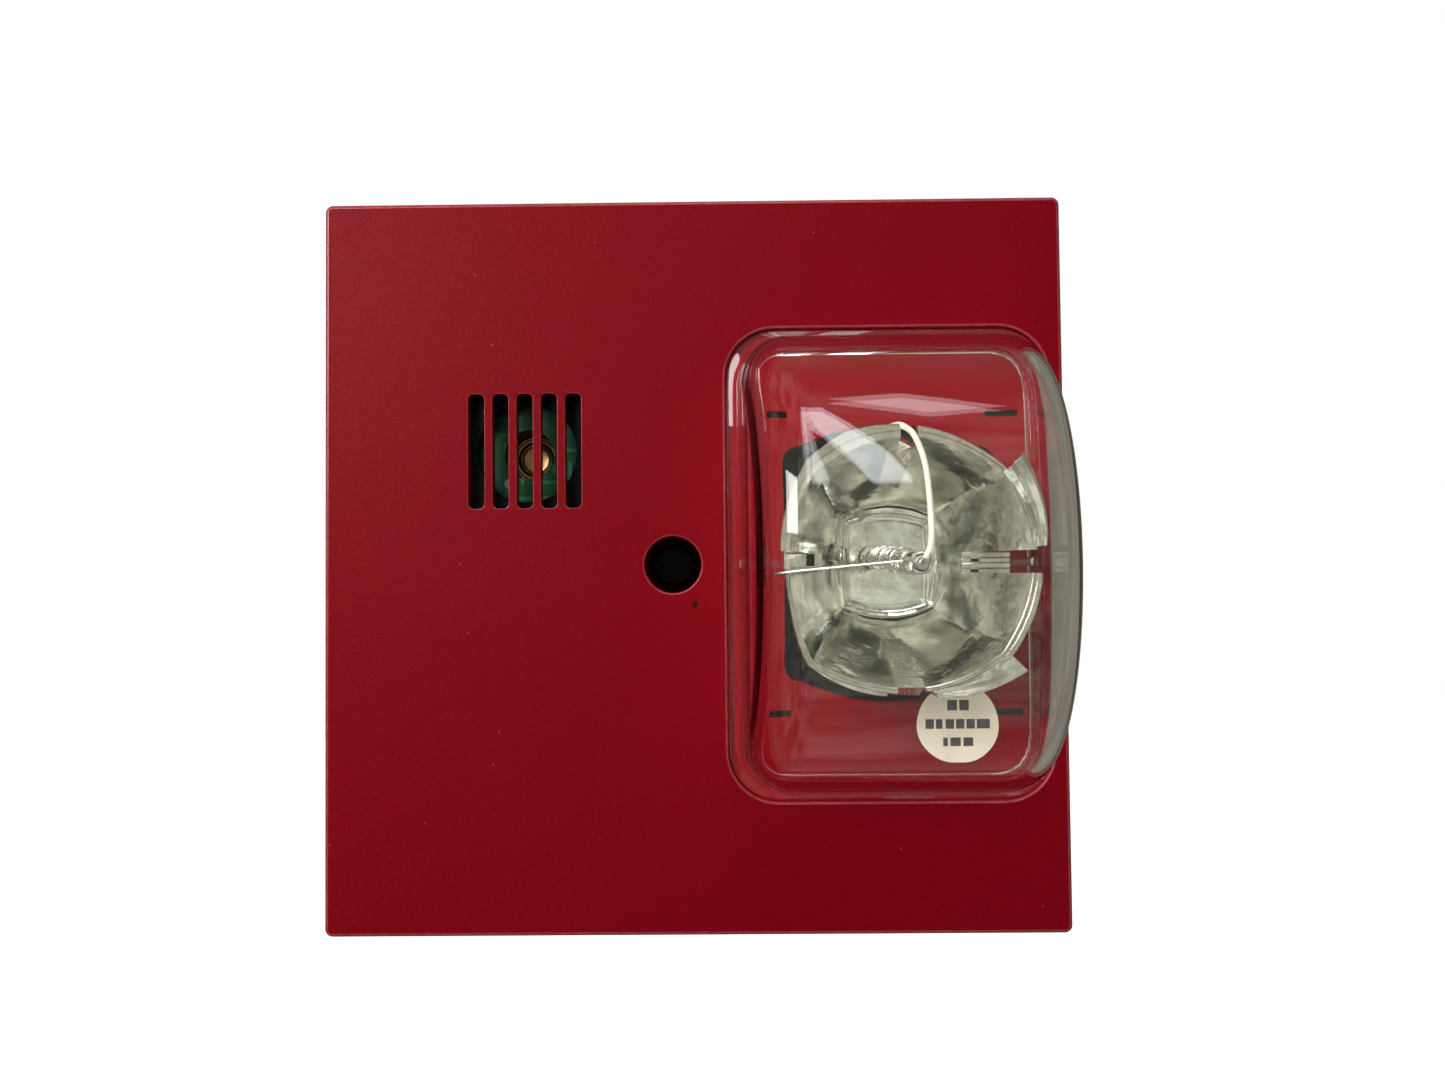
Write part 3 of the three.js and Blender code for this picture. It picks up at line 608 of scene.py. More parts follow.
def board_look():
    board = Look("board_laminate", (0.005, 0.052, 0.018), 0.45, Specular_IOR_Level=0.2)
    pitch, half_track = 2.54, 0.28
    blocks = board.noise(11, 0)
    runs = []
    for axis, low, high in (("X", 0.5, 0.62), ("Z", 0.36, 0.48)):
        place = board.maths("ADD", board.axis(axis), 200 * MM)  # keeps every place above zero
        off_track = board.maths("PINGPONG", place, pitch / 2 * MM)
        lines = board.maths("LESS_THAN", off_track, half_track * MM)
        runs.append(board.maths("MULTIPLY", lines, board.between(blocks, low, high)))
    tracks = board.maths("MAXIMUM", *runs)
    board.tint(board.maths("MULTIPLY", tracks, 0.75), (0.03, 0.17, 0.07))
    pads = board.maths("MULTIPLY", board.maths("LESS_THAN", board.cells(5.2), 0.16), 0.85)
    board.tint(pads, (0.34, 0.34, 0.31))
    board.bump(tracks, 0.03)
    return board.shine(0.7, 4, 0.26, 0.42)


def foam_look():
    foam = Look("foam", (0.005, 0.005, 0.005), 0.95, Specular_IOR_Level=0.1)
    foam.tint(foam.ramp(foam.cells(0.55), (0.1, 0.6), (0.5, 0.0)), (0.013, 0.013, 0.013))
    return foam.bump(foam.cells(0.55), 0.25)


def diaphragm_look():
    brass = metal("diaphragm_brass", (0.50, 0.30, 0.14), 0.30, grain=0.4, stain=0.5)
    return brass.patches(1.1, 4, (0.45, 0.7), 0.6, (0.22, 0.12, 0.06))


def winding_look():
    copper = Look("copper_winding", (0.48, 0.19, 0.07), 0.32, 0.9, Coat_Weight=0.4)
    copper.patches(0.9, 3, (0.4, 0.7), 0.5, (0.3, 0.1, 0.035))
    return copper.relief(0.4, 2, 0.01)


def sleeve_look(name, colour, capacitor, stripe_colour):
    """Shrink sleeve on a capacitor, with the paler stripe that marks one side."""
    sleeve = Look(name, colour, 0.24, Coat_Weight=0.35, Coat_Roughness=0.15)
    sleeve.patches(3, 3, (0.4, 0.8), 0.3, tuple(c * 0.6 for c in colour))
    foot, top = extent(capacitor)[2]
    stripe_foot, stripe_top = foot + 0.3, foot + 0.3 * (top - foot)
    stripe = sleeve.between(sleeve.axis("Z"), stripe_foot * MM, stripe_top * MM)
    sleeve.tint(sleeve.maths("MULTIPLY", stripe, 0.8), stripe_colour)
    return sleeve.bump(sleeve.noise(0.9, 3, sleeve.stretched(0.2, 1, 1)), 0.02)


def ferrite_look():
    ferrite = Look("ferrite", (0.045, 0.043, 0.042), 0.62)
    ferrite.patches(0.3, 4, (0.45, 0.75), 0.5, (0.11, 0.105, 0.10))
    ferrite.shine(1.2, 3, 0.48, 0.72)
    return ferrite.relief(0.25, 4, 0.03)


def tape_look():
    tape = Look("transformer_tape", (0.62, 0.42, 0.03), 0.36, Coat_Weight=0.2)
    lap, half_seam = 3.2, 0.07
    off_seam = tape.maths("PINGPONG", tape.axis("Y"), lap / 2 * MM)
    seam = tape.maths("LESS_THAN", off_seam, half_seam * MM)
    tape.tint(tape.maths("MULTIPLY", seam, 0.6), (0.28, 0.17, 0.01))
    tape.patches(2.2, 3, (0.4, 0.8), 0.35, (0.75, 0.55, 0.10))
    return tape.relief(1.1, 3, 0.04)


def resistor_look():
    body = Look("resistor_body", (0.44, 0.31, 0.16), 0.38, Coat_Weight=0.3)
    middle_x, half_band, half_body = 36, 0.25, 3.25
    along = body.maths("SUBTRACT", body.axis("X"), middle_x * MM)
    for place, colour in (
        (-2.2, (0.25, 0.06, 0.02)), (-1.0, (0.02, 0.02, 0.02)),
        (0.2, (0.5, 0.06, 0.01)), (1.8, (0.55, 0.38, 0.06)),
    ):
        stripe = body.between(along, (place - half_band) * MM, (place + half_band) * MM)
        body.tint(stripe, colour)
    lead = body.maths("GREATER_THAN", body.maths("ABSOLUTE", along), half_body * MM)
    body.tint(lead, (0.6, 0.6, 0.6))
    body.feed(body.shader.inputs["Metallic"], lead)
    return body.relief(0.3, 2, 0.01)


def looks_by_slot():
    made = [
        cover_look(),
        clear_look(),
        mirror_look(),
        glass_look(),
        metal("electrode_metal", (0.55, 0.54, 0.5), 0.3),
        moulded("socket_ceramic", (0.62, 0.58, 0.5), 0.62, 0.25, 0.02, 0.3),
        moulded("lead_insulation", (0.62, 0.60, 0.47), 0.38, 0.5, 0.01, 0.3),
        metal("bare_wire", (0.66, 0.64, 0.58), 0.24),
        paper_look(),
        board_look(),
        moulded("black_plastic", (0.018, 0.018, 0.019), 0.5, 0.3, 0.02, 0.35),
        foam_look(),
        diaphragm_look(),
        moulded("piezo_ceramic", (0.66, 0.65, 0.62), 0.45, 0.4, 0.01, 0.3),
        metal("zinc_steel", (0.58, 0.59, 0.61), 0.30),
        metal("dark_steel", (0.012, 0.012, 0.013), 0.42),
        metal("insert_brass", (0.56, 0.40, 0.16), 0.3, (1, 0.1, 1)),
        metal("contact_brass", (0.62, 0.53, 0.32), 0.28),
        sleeve_look("capacitor_sleeve", (0.012, 0.035, 0.16), "flash_capacitor", (0.5, 0.52, 0.55)),
        sleeve_look(
            "capacitor_sleeve_black", (0.012, 0.012, 0.014), "filter_capacitor", (0.42, 0.42, 0.44),
        ),
        ferrite_look(),
        winding_look(),
        tape_look(),
        moulded("film_capacitor", (0.36, 0.14, 0.035), 0.32, 0.8, 0.03, 0.3),
        moulded("semiconductor", (0.014, 0.014, 0.015), 0.45, 0.12, 0.012, 0.3),
        resistor_look(),
        moulded("slider_plastic", (0.68, 0.67, 0.62), 0.4, 0.4, 0.01, 0.2),
    ]
    return {look.name: look.material for look in made}


LOOKS = looks_by_slot()
INK = ink_look().material
# The paler red of the cover's edges is a painted highlight.
EDGE_HIGHLIGHT = painted_edge_highlight_look().material
FLAT = flat_mirror_look().material
# Matte black that paints the shade behind the reflector.
SHADE_SHEET = shade_sheet_look().material


def dress_frame():
    """Gives every CAD node its slot's material, and small machined or moulded edges."""
    slots = {row["node"]: row["material_slot"] for row in frame["record"]["subparts"]}
    for name, node in frame["nodes"].items():
        node.data.materials.clear()
        node.data.materials.append(LOOKS[slots[name]])
        for face in node.data.polygons:
            face.use_smooth = True
        round_edges(node, 0.12, 38)
        even_normals(node)


# ---- front cover ----


def slot_places():
    first = HORN_X - (SLOT_COUNT - 1) / 2 * SLOT_PITCH
    return [first + i * SLOT_PITCH for i in range(SLOT_COUNT)]


def bowed_opening(grow):
    """Straight sides and bowed ends, round the reflector."""
    side, corner, end = WINDOW_SIDE, WINDOW_CORNER, WINDOW_END
    turn_in, turn_up = 4, 3.4
    top = corner + turn_up
    half = []
    for start, control, stop in (
        ((side, corner), (side, corner + 3), (side - turn_in, top)),
        ((side - turn_in, top), (0, 2 * end - top), (turn_in - side, top)),
        ((turn_in - side, top), (-side, corner + 3), (-side, corner)),
    ):
        steps = 12 if control[0] == 0 else 5
        for k in range(steps):
            t = k / steps
            a, b, c = (1 - t) ** 2, 2 * t * (1 - t), t * t
            half.append(tuple(a * start[i] + b * control[i] + c * stop[i] for i in (0, 1)))
    half.append((-side, corner))
    whole = half + [(-x, -z) for x, z in half]
    kx, kz = (side + grow) / side, (end + grow) / end
    return [(REFLECTOR_X + x * kx, z * kz) for x, z in whole]


def rim_profile(radius, front, back):
    """The profile of a hole's walls, with a rounded rim at the front."""
    return [(radius, front, 0), (0, front, radius), (0, back, 0)]


def sound_slots(shell):
    """Walls of the slots in front of the horn, as (front, back) rings."""
    return [
        shell.sweep(
            growing_rect(SLOT_WIDTH, SLOT_LENGTH, SLOT_CORNER, x, HORN_Z, 4), rim_profile(0.1, 0, WALL), 3,
        ) for x in slot_places()
    ]


def access_hole(shell):
    """Walls of the hole over the mounting screw, its seat and the outside of its sleeve."""
    inward = SEAT_HOLE - ACCESS_RADIUS
    outward = SLEEVE_RADIUS - ACCESS_RADIUS
    return shell.sweep(growing_circle(ACCESS_RADIUS, SCREW_X, 0, 48), [
        (0.22, 0, 0), (0, 0, 0.22), (0, SEAT_FRONT, 0), (inward, SEAT_FRONT, 0),
        (inward, SEAT_BACK, 0), (outward, SEAT_BACK, 0.2), (outward, WALL, 0),
    ], 2)


def lens_pocket(shell):
    """Walls of the pocket that the lens sits in; its rings on the face and round its floor."""
    pocket = growing_rect(
        FLANGE_WIDTH + 2 * POCKET_GAP, FLANGE_HEIGHT + 2 * POCKET_GAP, FLANGE_CORNER + POCKET_GAP,
        LENS_X, 0, 10,
    )
    return shell.sweep(pocket, [
        (0.4, 0, 0), (0, 0, 0.4), (0, POCKET_DEPTH, 0.3), (-0.4, POCKET_DEPTH, 0),
    ], 2)


def pocket_windows(shell):
    """Walls of the openings in the pocket's floor, as (front, back) rings."""
    windows = [shell.sweep(bowed_opening, rim_profile(0.2, POCKET_DEPTH, POCKET_BACK), steps=2)]
    for x, z in corner_places(NARROW_X, NARROW_Z):
        narrow = growing_rect(NARROW_WIDTH, NARROW_HEIGHT, 0.3, REFLECTOR_X + x, z, 3)
        windows.append(shell.sweep(narrow, rim_profile(0.1, POCKET_DEPTH, POCKET_BACK), steps=2))
    return windows


def pocket_backing(shell):
    """Sides of the block behind the face that the pocket is sunk in; its rings at foot and top."""
    backing_right = WIDTH / 2 - WALL - 0.1
    width, centre = backing_right - BACKING_LEFT, (BACKING_LEFT + backing_right) / 2
    return shell.sweep(growing_rect(width, BACKING_HEIGHT, 1, centre, 0), [
        (0, WALL, 0), (0, POCKET_BACK, 0.3), (-0.5, POCKET_BACK, 0),
    ])


def screw_bosses(shell):
    """Posts with screw holes behind the face; their rings at the foot."""
    feet = []
    places = [(x, z, *CORNER_BOSS) for x, z in corner_places(CORNER_X, CORNER_Z)]
    for x, z, radius, height, pilot in places + [(x, z, *BOARD_BOSS) for x, z in BOARD_BOSSES]:
        inward = PILOT_RADIUS - radius
        foot, bottom = shell.sweep(growing_circle(radius, x, z, 24), [
            (0, WALL, 0), (0, height, 0.25), (inward, height, 0.2), (inward, pilot, 0),
        ])
        shell.fill(bottom)
        feet.append(foot)
    return feet


def build_cover():
    shell = Shell()
    face, back = shell.sweep(growing_rect(WIDTH, HEIGHT, EDGE_RADIUS, least=0.45), [
        (-0.6, 0, 0), (0, 0, 0.6), (0, COVER_BACK, 0.3), (-WALL, COVER_BACK, 0.3), (-WALL, WALL, 0),
    ], 3, 4)
    holes = [*sound_slots(shell), access_hole(shell)]
    mouth, floor = lens_pocket(shell)
    windows = pocket_windows(shell)
    shell.fill(floor, *[window[0] for window in windows])
    foot, top = pocket_backing(shell)
    shell.fill(top, *[window[1] for window in windows])
    feet = screw_bosses(shell)
    shell.fill(face, *[hole[0] for hole in holes], mouth)
    shell.fill(back, *[hole[1] for hole in holes], foot, *feet)
    # The second look, on the first bands of the outer edge and of each hole's rim, is a paler red painted
    # highlight.
    looks = [LOOKS["cover_plastic"], EDGE_HIGHLIGHT]
    shell.build("cover_moulding", "cover_plastic", ["front_cover"], looks)


# ---- clear lens ----

LENS_SPOKES = np.linspace(0, 2 * np.pi, 216, endpoint=False)
SPOKE_X, SPOKE_Z = np.cos(LENS_SPOKES), np.sin(LENS_SPOKES)
FARTHEST, HALVINGS = 60.0, 34


def rounded_corner(a, b, radius):
    """Distance to two walls, a and b away, that meet in a round corner."""
    return np.minimum(np.maximum(a, b), 0) + np.hypot(np.maximum(a, 0), np.maximum(b, 0)) - radius


def reach_along(distance, x, z, h):
    """How far along each direction a distance function first reaches zero."""
    low, high = np.zeros(x.shape), np.full(x.shape, FARTHEST)
    for _ in range(HALVINGS):
        half = (low + high) / 2
        outside = distance(x * half, z * half, h * half) > 0
        high = np.where(outside, half, high)
        low = np.where(outside, low, half)
    return low


def dome_distance(inset, flare):
    """Distance to the dome's skin: upright drafted sides, bowed from top to bottom, soft shoulders."""
    foot_softening, foot_fade, flare_height = 1.0, 7, 0.7

    def distance(x, z, h):
        side = np.abs(x) - (DOME_HALF_WIDTH - DOME_DRAFT * h)
        q = np.hypot(z / DOME_HALF_HEIGHT, h / DOME_REACH)
        slope = np.hypot(z / DOME_HALF_HEIGHT ** 2, h / DOME_REACH ** 2)
        end = q * (q - 1) / np.maximum(slope, 1e-9)
        soft = DOME_SHOULDER + foot_softening * np.exp(-(h / foot_fade) ** 2)
        skin = rounded_corner(side + soft, end + soft, soft) + inset
        return skin - flare * np.maximum(0, 1 - h / flare_height) ** 2
    return distance


def dome_rings(inset, flare, climbs):
    """Rings round the dome, one for each angle of climb from its foot."""
    rings = []
    for climb in climbs:
        level, rise = math.cos(climb), math.sin(climb)
        x, z, h = SPOKE_X * level, SPOKE_Z * level, np.full(SPOKE_X.shape, rise)
        length = reach_along(dome_distance(inset, flare), x, z, h)
        rings.append([(LENS_X + px, -ph, pz) for px, ph, pz in zip(x * length, h * length, z * length)])
    return rings


def flange_ring(grow, depth):
    corner = FLANGE_CORNER + grow
    half_x, half_z = FLANGE_WIDTH / 2 + grow - corner, FLANGE_HEIGHT / 2 + grow - corner

    def distance(x, z, _):
        return rounded_corner(np.abs(x) - half_x, np.abs(z) - half_z, corner)

    length = reach_along(distance, SPOKE_X, SPOKE_Z, np.zeros(SPOKE_X.shape))
    return [(LENS_X + x, depth, z) for x, z in zip(SPOKE_X * length, SPOKE_Z * length)]


def build_lens():
    shell = Shell()
    foot = [0, 0.15, 0.4, 0.8, 1.4, 2.4]
    climbs = [math.radians(a) for a in foot] + [math.radians(4 + 85 * k / 64) for k in range(65)]
    outer = [shell.add(ring) for ring in dome_rings(0, 0.6, climbs)]
    inner = [shell.add(ring) for ring in dome_rings(DOME_WALL, 0, climbs)]
    edge = [shell.add(flange_ring(grow, depth)) for grow, depth in (
        (-0.3, FLANGE_FRONT), (-0.1, FLANGE_FRONT + 0.09), (0, FLANGE_FRONT + 0.3),
        (0, FLANGE_BACK - 0.3), (-0.1, FLANGE_BACK - 0.09), (-0.3, FLANGE_BACK),
    )]
    sill = shell.add([(p.x, FLANGE_BACK, p.z) for p in (shell.points[i] for i in inner[0])])
    rings = [*reversed(outer), *edge, sill, *inner]
    shell.capped(rings, (LENS_X, -DOME_REACH, 0), (LENS_X, DOME_WALL - DOME_REACH, 0))
    tab_x, tab_z = (LENS_X - 1.5, LENS_X + 6.5), (LENS_BOTTOM + 0.15, LENS_BOTTOM + 1.3)
    shell.box(tab_x, (FLANGE_FRONT - 0.4, FLANGE_FRONT - 0.05), tab_z, 0.12)
    shell.build("lens_dome", "clear_polycarbonate", ["lens"], sharp=50, weighted=False)


# ---- reflector ----

# The bowl is four bowed sides that meet in creases: half sizes at the middle of each side and how
# far out each crease is, at the flat bottom and at the rim.
SIDES = ["right", "top", "left", "foot"]
BOTTOM_HALF = {"right": 7.0, "top": 7.9, "left": 7.1, "foot": 7.9}
RIM_HALF = {"right": 17.0, "top": 17.2, "left": 16.9, "foot": 17.4}
BOTTOM_CREASE, RIM_CREASE = 9.3, {"right": 17.8, "top": 18.0, "left": 19.3, "foot": 17.8}
FLOOR_ROUND, BOWL_CURVE = 0.5, 1.5
OUTSIDE_GROWTH = 0.55 * REFLECTOR_WALL
SIDE_STEPS, LEVELS = 20, 26
LIP = [  # degrees round the rim, width of the lip outside it
    (-180, 0.6), (-172, 0.5), (-133, 1.0), (-97, 0.9), (-84, 0.6), (-50, 0.8), (-44, 1.5), (-6, 1.5),
    (6, 0.5), (44, 0.8), (66, 1.1), (95, 1.8), (117, 2.7), (139, 1.9), (168, 1.7), (180, 1.5),
]


def lerp(a, b, t):
    return a + (b - a) * t


def graph(points, x):
    """Straight-line reading of a value between given points."""
    for (x0, y0), (x1, y1) in zip(points, points[1:]):
        if x <= x1:
            return lerp(y0, y1, (x - x0) / (x1 - x0))
    return points[-1][1]


def bowl_outline(s, grow=0.0):
    """One level of the bowl, anticlockwise from the middle of the right side's lower crease."""
    outline = []
    for i, side in enumerate(SIDES):
        before = SIDES[i - 1]
        half = lerp(BOTTOM_HALF[side], RIM_HALF[side], s)
        ends = [lerp(BOTTOM_CREASE, RIM_CREASE[name], s) * math.sqrt(0.5) for name in (before, side)]
        for k in range(SIDE_STEPS):
            t = 2 * k / SIDE_STEPS - 1
            end = ends[1] if t > 0 else ends[0]
            out = half - (half - end) * t * t
            along = end * t
            stretch = 1 + grow / math.hypot(out, along)
            turn = i * math.pi / 2
            outline.append((
                REFLECTOR_X + stretch * (out * math.cos(turn) - along * math.sin(turn)),
                stretch * (out * math.sin(turn) + along * math.cos(turn)),
            ))
    return outline


def bowl_depth(s):
    return BOTTOM_DEPTH - FLOOR_ROUND + (RIM_DEPTH - BOTTOM_DEPTH + FLOOR_ROUND) * s ** BOWL_CURVE


def lip_ring(shell, share, inset, depth):
    """A ring round the rim, a share of the lip's width out."""
    ring = []
    for x, z in bowl_outline(1):
        out = Vector((x - REFLECTOR_X, z))
        degrees = math.degrees(math.atan2(out.y, out.x))
        reach = out.length + share * graph(LIP, degrees) - inset
        out = out.normalized() * reach
        ring.append((REFLECTOR_X + out.x, depth, out.y))
    return shell.add(ring)


def bowl_shell():
    """The bowl before its notches are cut: floor, sides, lip and the outside back to the floor."""
    shell = Shell()
    levels = [k / LEVELS for k in range(LEVELS + 1)]
    floor = [shell.ring(bowl_outline(0, -grow), BOTTOM_DEPTH - FLOOR_ROUND * lift) for grow, lift in (
        (1.6, 0), (0.7, 0.1), (0.25, 0.45),
    )]
    inner = [shell.ring(bowl_outline(s), bowl_depth(s)) for s in levels]
    lip = [lip_ring(shell, share, inset, RIM_DEPTH + depth) for share, inset, depth in (
        (0, -0.1, -0.08), (0.45, 0, -0.02), (0.5, 0, -0.28), (1, 0.12, -0.3), (1, 0, -0.16), (1, 0, 1.3),
    )]
    outer = [
        shell.ring(bowl_outline(s, OUTSIDE_GROWTH), bowl_depth(s) + REFLECTOR_WALL)
        for s in reversed(levels)
    ]
    shell.fan(floor[0], (REFLECTOR_X, BOTTOM_DEPTH, 0))
    shell.bands([*floor, *inner])
    shell.look = 1
    shell.bands([inner[-1], *lip])
    shell.look = 0
    shell.bands([lip[-1], *outer])
    shell.fan(outer[-1], (REFLECTOR_X, BOTTOM_DEPTH + REFLECTOR_WALL, 0))
    return shell


def cutter(x, depth, z):
    """A plain block that is only subtracted."""
    shell = Shell()
    corners = [(x[0], z[0]), (x[1], z[0]), (x[1], z[1]), (x[0], z[1])]
    front, back = shell.ring(corners, depth[0]), shell.ring(corners, depth[1])
    shell.band(front, back)
    shell.lid(front)
    shell.lid(back)
    return shell


def cut_away(piece, blocks):
    """Subtracts blocks from a piece and leaves the result in its mesh."""
    tools = []
    for block in blocks:
        mesh = block.mesh("tool")
        with editing(mesh) as work:
            bmesh.ops.recalc_face_normals(work, faces=work.faces)
        cut = piece.modifiers.new("cut", "BOOLEAN")
        cut.object = linked("tool", mesh)
        cut.solver = "MANIFOLD"
        tools.append(cut.object)
    cut_piece = piece.evaluated_get(bpy.context.evaluated_depsgraph_get())
    result = bpy.data.meshes.new_from_object(cut_piece)
    piece.modifiers.clear()
    piece.data = result
    for tool in tools:
        bpy.data.objects.remove(tool)
    with editing(result) as work:
        mark_sharp(work, 30)


def add_wing(shell, turn, rim, reach, levels, thickness):
    """Curved strips outside the rim, each at its own level, from one angle to another in degrees.

    Its inner radius runs straight between the two ends, and its width follows given points.
    """
    steps = 14
    rows = []
    for k in range(steps + 1):
        t = k / steps
        angle = math.radians(lerp(*turn, t))
        inner = lerp(*rim, t)
        outer = inner + graph(reach, t)
        row = []
        for j, level in enumerate(levels):
            radius = lerp(inner, outer, j / (len(levels) - 1))
            row.append((REFLECTOR_X + radius * math.cos(angle), level, radius * math.sin(angle)))
        rows.append(row)
    front = [shell.add(row) for row in rows]
    back = [shell.add([(x, d + thickness, z) for x, d, z in row]) for row in rows]
    shell.bands(front, closed=False)
    shell.bands(back, closed=False)
    for end in (0, -1):
        shell.band(front[end], back[end], closed=False)
    for side in (0, -1):
        shell.band([row[side] for row in front], [row[side] for row in back], closed=False)


def add_block(shell, corners, faces, push):
    """A pointed block: its front corners and faces, carried back along a direction."""
    front = shell.add([(REFLECTOR_X + u, depth, w) for u, depth, w in corners])
    back = shell.add([(REFLECTOR_X + u, depth + push[1], w + push[2]) for u, depth, w in corners])
    for face in faces:
        shell.face(*[front[i] for i in face])
    shell.lid(back)
    shell.band(front, back)


def across(low, high):
    """A stretch of x from two places measured from the reflector's middle."""
    return REFLECTOR_X + low, REFLECTOR_X + high


NOTCH_RIGHT, NOTCH_RIGHT_FLOOR, NOTCH_RIGHT_Z = 10.4, -3.0, (-1.75, 1.45)
NOTCH_LEFT, NOTCH_LEFT_FLOOR, NOTCH_LEFT_Z = -11.7, -3.4, (-0.6, 1.55)


def build_bowl():
    bowl = bowl_shell().build(
        "reflector_bowl", "metallized", ["reflector"], [LOOKS["metallized"], FLAT], 30, False,
    )
    front, beyond, notch_depth = RIM_DEPTH - 2, 25, -9
    cut_away(bowl, [
        cutter(across(NOTCH_RIGHT, beyond), (front, NOTCH_RIGHT_FLOOR), NOTCH_RIGHT_Z),
        cutter(across(-beyond, NOTCH_LEFT), (front, NOTCH_LEFT_FLOOR), NOTCH_LEFT_Z),
        cutter(across(-1.1, 1.3), (front, notch_depth), (15.9, beyond)),
        cutter(across(-2.0, 1.9), (front, notch_depth), (-beyond, -16.2)),
    ])
    round_edges(bowl, 0.11, 26)


def add_ribs(shell):
    """Stepped ribs on the floor of the right notch."""
    ribs, rib_gap, rib_step = 4, 0.04, 0.25
    low, high = NOTCH_RIGHT_Z
    pitch = (high - low) / ribs
    for k in range(ribs):
        foot = low + pitch * k
        shell.box(
            across(NOTCH_RIGHT - 0.2, 17.5),
            (NOTCH_RIGHT_FLOOR - rib_step * (k % 2), NOTCH_RIGHT_FLOOR + 0.8),
            (foot, foot + pitch - rib_gap), 0.12,
        )


def add_left_ledge(shell):
    """Floor and side walls of the left notch."""
    low, high = NOTCH_LEFT_Z
    floor, floor_back, walls_front = NOTCH_LEFT_FLOOR, NOTCH_LEFT_FLOOR + 0.8, NOTCH_LEFT_FLOOR - 1.6
    shell.box(across(-17.4, NOTCH_LEFT + 0.9), (floor, floor_back), (low, high), 0.15)
    for wall in ((low - 0.3, low), (high, high + 0.3)):
        shell.box(across(-17.5, NOTCH_LEFT), (walls_front, floor_back), wall, 0.1)


def add_wedges(shell):
    """Pointed blocks in the top and bottom notches."""
    add_block(
        shell, [
            (-2.4, -4.2, 11.1), (0.7, -4.2, 11.1), (1.6, -12, 16), (-1.3, -14.4, 17.1), (-2.4, -13.2, 15.9),
        ], [(0, 1, 3, 4), (1, 2, 3)], (0, 3.5, 1.5),
    )
    add_block(
        shell, [
            (0.7, -4.2, -11.3), (-2.3, -4.2, -11.3), (-1.9, -14.6, -17.4), (1.9, -14.5, -17.5),
            (2.5, -12.6, -15.9),
        ], [(0, 1, 2), (0, 2, 3, 4)], (0, 3.5, -1.5),
    )


def add_wings(shell):
    """The ledges outside the rim: upper right, lower right and lower left."""
    add_wing(
        shell, (43, 6), (17.6, 17.0), [(0, 4.4), (0.25, 3.8), (0.5, 3.5), (0.8, 3.1), (1, 2.6)],
        [-15.7, -17.3, -16.4, -16.9, -15.6], 0.9,
    )
    add_wing(
        shell, (-83, -42), (17.5, 18.9), [(0, 0.5), (0.15, 2.1), (0.5, 3.0), (0.8, 3.7), (1, 4.3)],
        [-13.6, -12.9, -12.7, -12.2], 0.8,
    )
    add_wing(shell, (-99, -132), (17.6, 18.9), [(0, 1.5), (1, 1.2)], [-14.2, -13.2, -13.0], 0.9)


def build_trim():
    shell = Shell()
    shell.look = 1
    add_ribs(shell)
    add_left_ledge(shell)
    add_wedges(shell)
    shell.look = 0
    add_wings(shell)
    looks = [LOOKS["metallized"], FLAT]
    trim = shell.build("reflector_trim", "metallized", looks=looks, sharp=20, weighted=False)
    round_edges(trim, 0.09, 26)


def build_shade_sheet():
    """A matte black sheet behind the reflector, with a hole behind the tube: painted shade for the gap
    round the reflector.
    """
    shade_sheet = Shell()
    outline = rounded_rect(SHADE_SHEET_WIDTH, SHADE_SHEET_HEIGHT, SHADE_SHEET_CORNER, REFLECTOR_X, 0)
    hole = circle(SHADE_SHEET_HOLE, REFLECTOR_X, 0)
    (outer, outer_back), (inner, inner_back) = [
        [shade_sheet.ring(loop, depth) for depth in (SHADE_SHEET_FRONT, SHADE_SHEET_BACK)] for loop in (outline, hole)
    ]
    shade_sheet.band(outer, outer_back)
    shade_sheet.band(inner, inner_back)
    shade_sheet.fill(outer, inner)
    shade_sheet.fill(outer_back, inner_back)
    shade_sheet.build("painted_shade_sheet", "black_plastic", looks=[SHADE_SHEET])


# ---- flash tube ----

TUBE_BASE = Vector((REFLECTOR_X - 2.3, BOTTOM_DEPTH + 0.2, 1))
TUBE_TIP = Vector((REFLECTOR_X, -24, -0.3))
TUBE_RADIUS, TUBE_BORE = 1.6, 1.1
TUBE_LENGTH = (TUBE_TIP - TUBE_BASE).length
TUBE_TURN = Vector((0, 1, 0)).rotation_difference(TUBE_TIP - TUBE_BASE)
TUBE_PLACE = Matrix.Translation(TUBE_BASE) @ TUBE_TURN.to_matrix().to_4x4()


def build_glass():
    glass = Shell()
    glass.place = TUBE_PLACE
    start, stop = 0.3, TUBE_LENGTH - 0.2
    profile = soften([
        (TUBE_BORE, start, 0), (TUBE_RADIUS, start, 0.2), (TUBE_RADIUS, stop, 0.4), (TUBE_BORE, stop, 0.2),
    ])
    rings = [glass.ring(circle(radius), depth) for radius, depth in profile]
    glass.bands([*rings, rings[0]])
    glass.build("flash_tube_glass", "tube_glass", ["flash_tube"])


def build_pin(name, outer, inner, cap=()):
    """An electrode: a pin in from the tube's end, with a head, and a cap where it has one."""
    pin = Shell()
    pin.place = TUBE_PLACE
    toward = 1 if inner > outer else -1
    pin.turned([
        (0, outer), (0.35, outer), (0.4, outer + 0.1 * toward), (0.4, inner - 3.2 * toward),
        (0.72, inner - 3.0 * toward), (0.72, inner - 0.2 * toward), (0.6, inner), (0, inner),
    ], 20)
    if cap:
        pin.turned(cap, 24)
    pin.build(f"tube_{name}_pin", "electrode_metal", [f"tube_{name}"])


def build_pins():
    reach = 6
    build_pin("cathode", 0.4, reach)
    end = TUBE_LENGTH + 0.25
    build_pin("anode", end, TUBE_LENGTH - reach, [
        (0, end - 0.9), (0.95, end - 0.9), (1.0, end - 0.8), (1.0, end - 0.2),
        (0.85, end - 0.05), (0.45, end - 0.05), (0.38, end), (0, end),
    ])


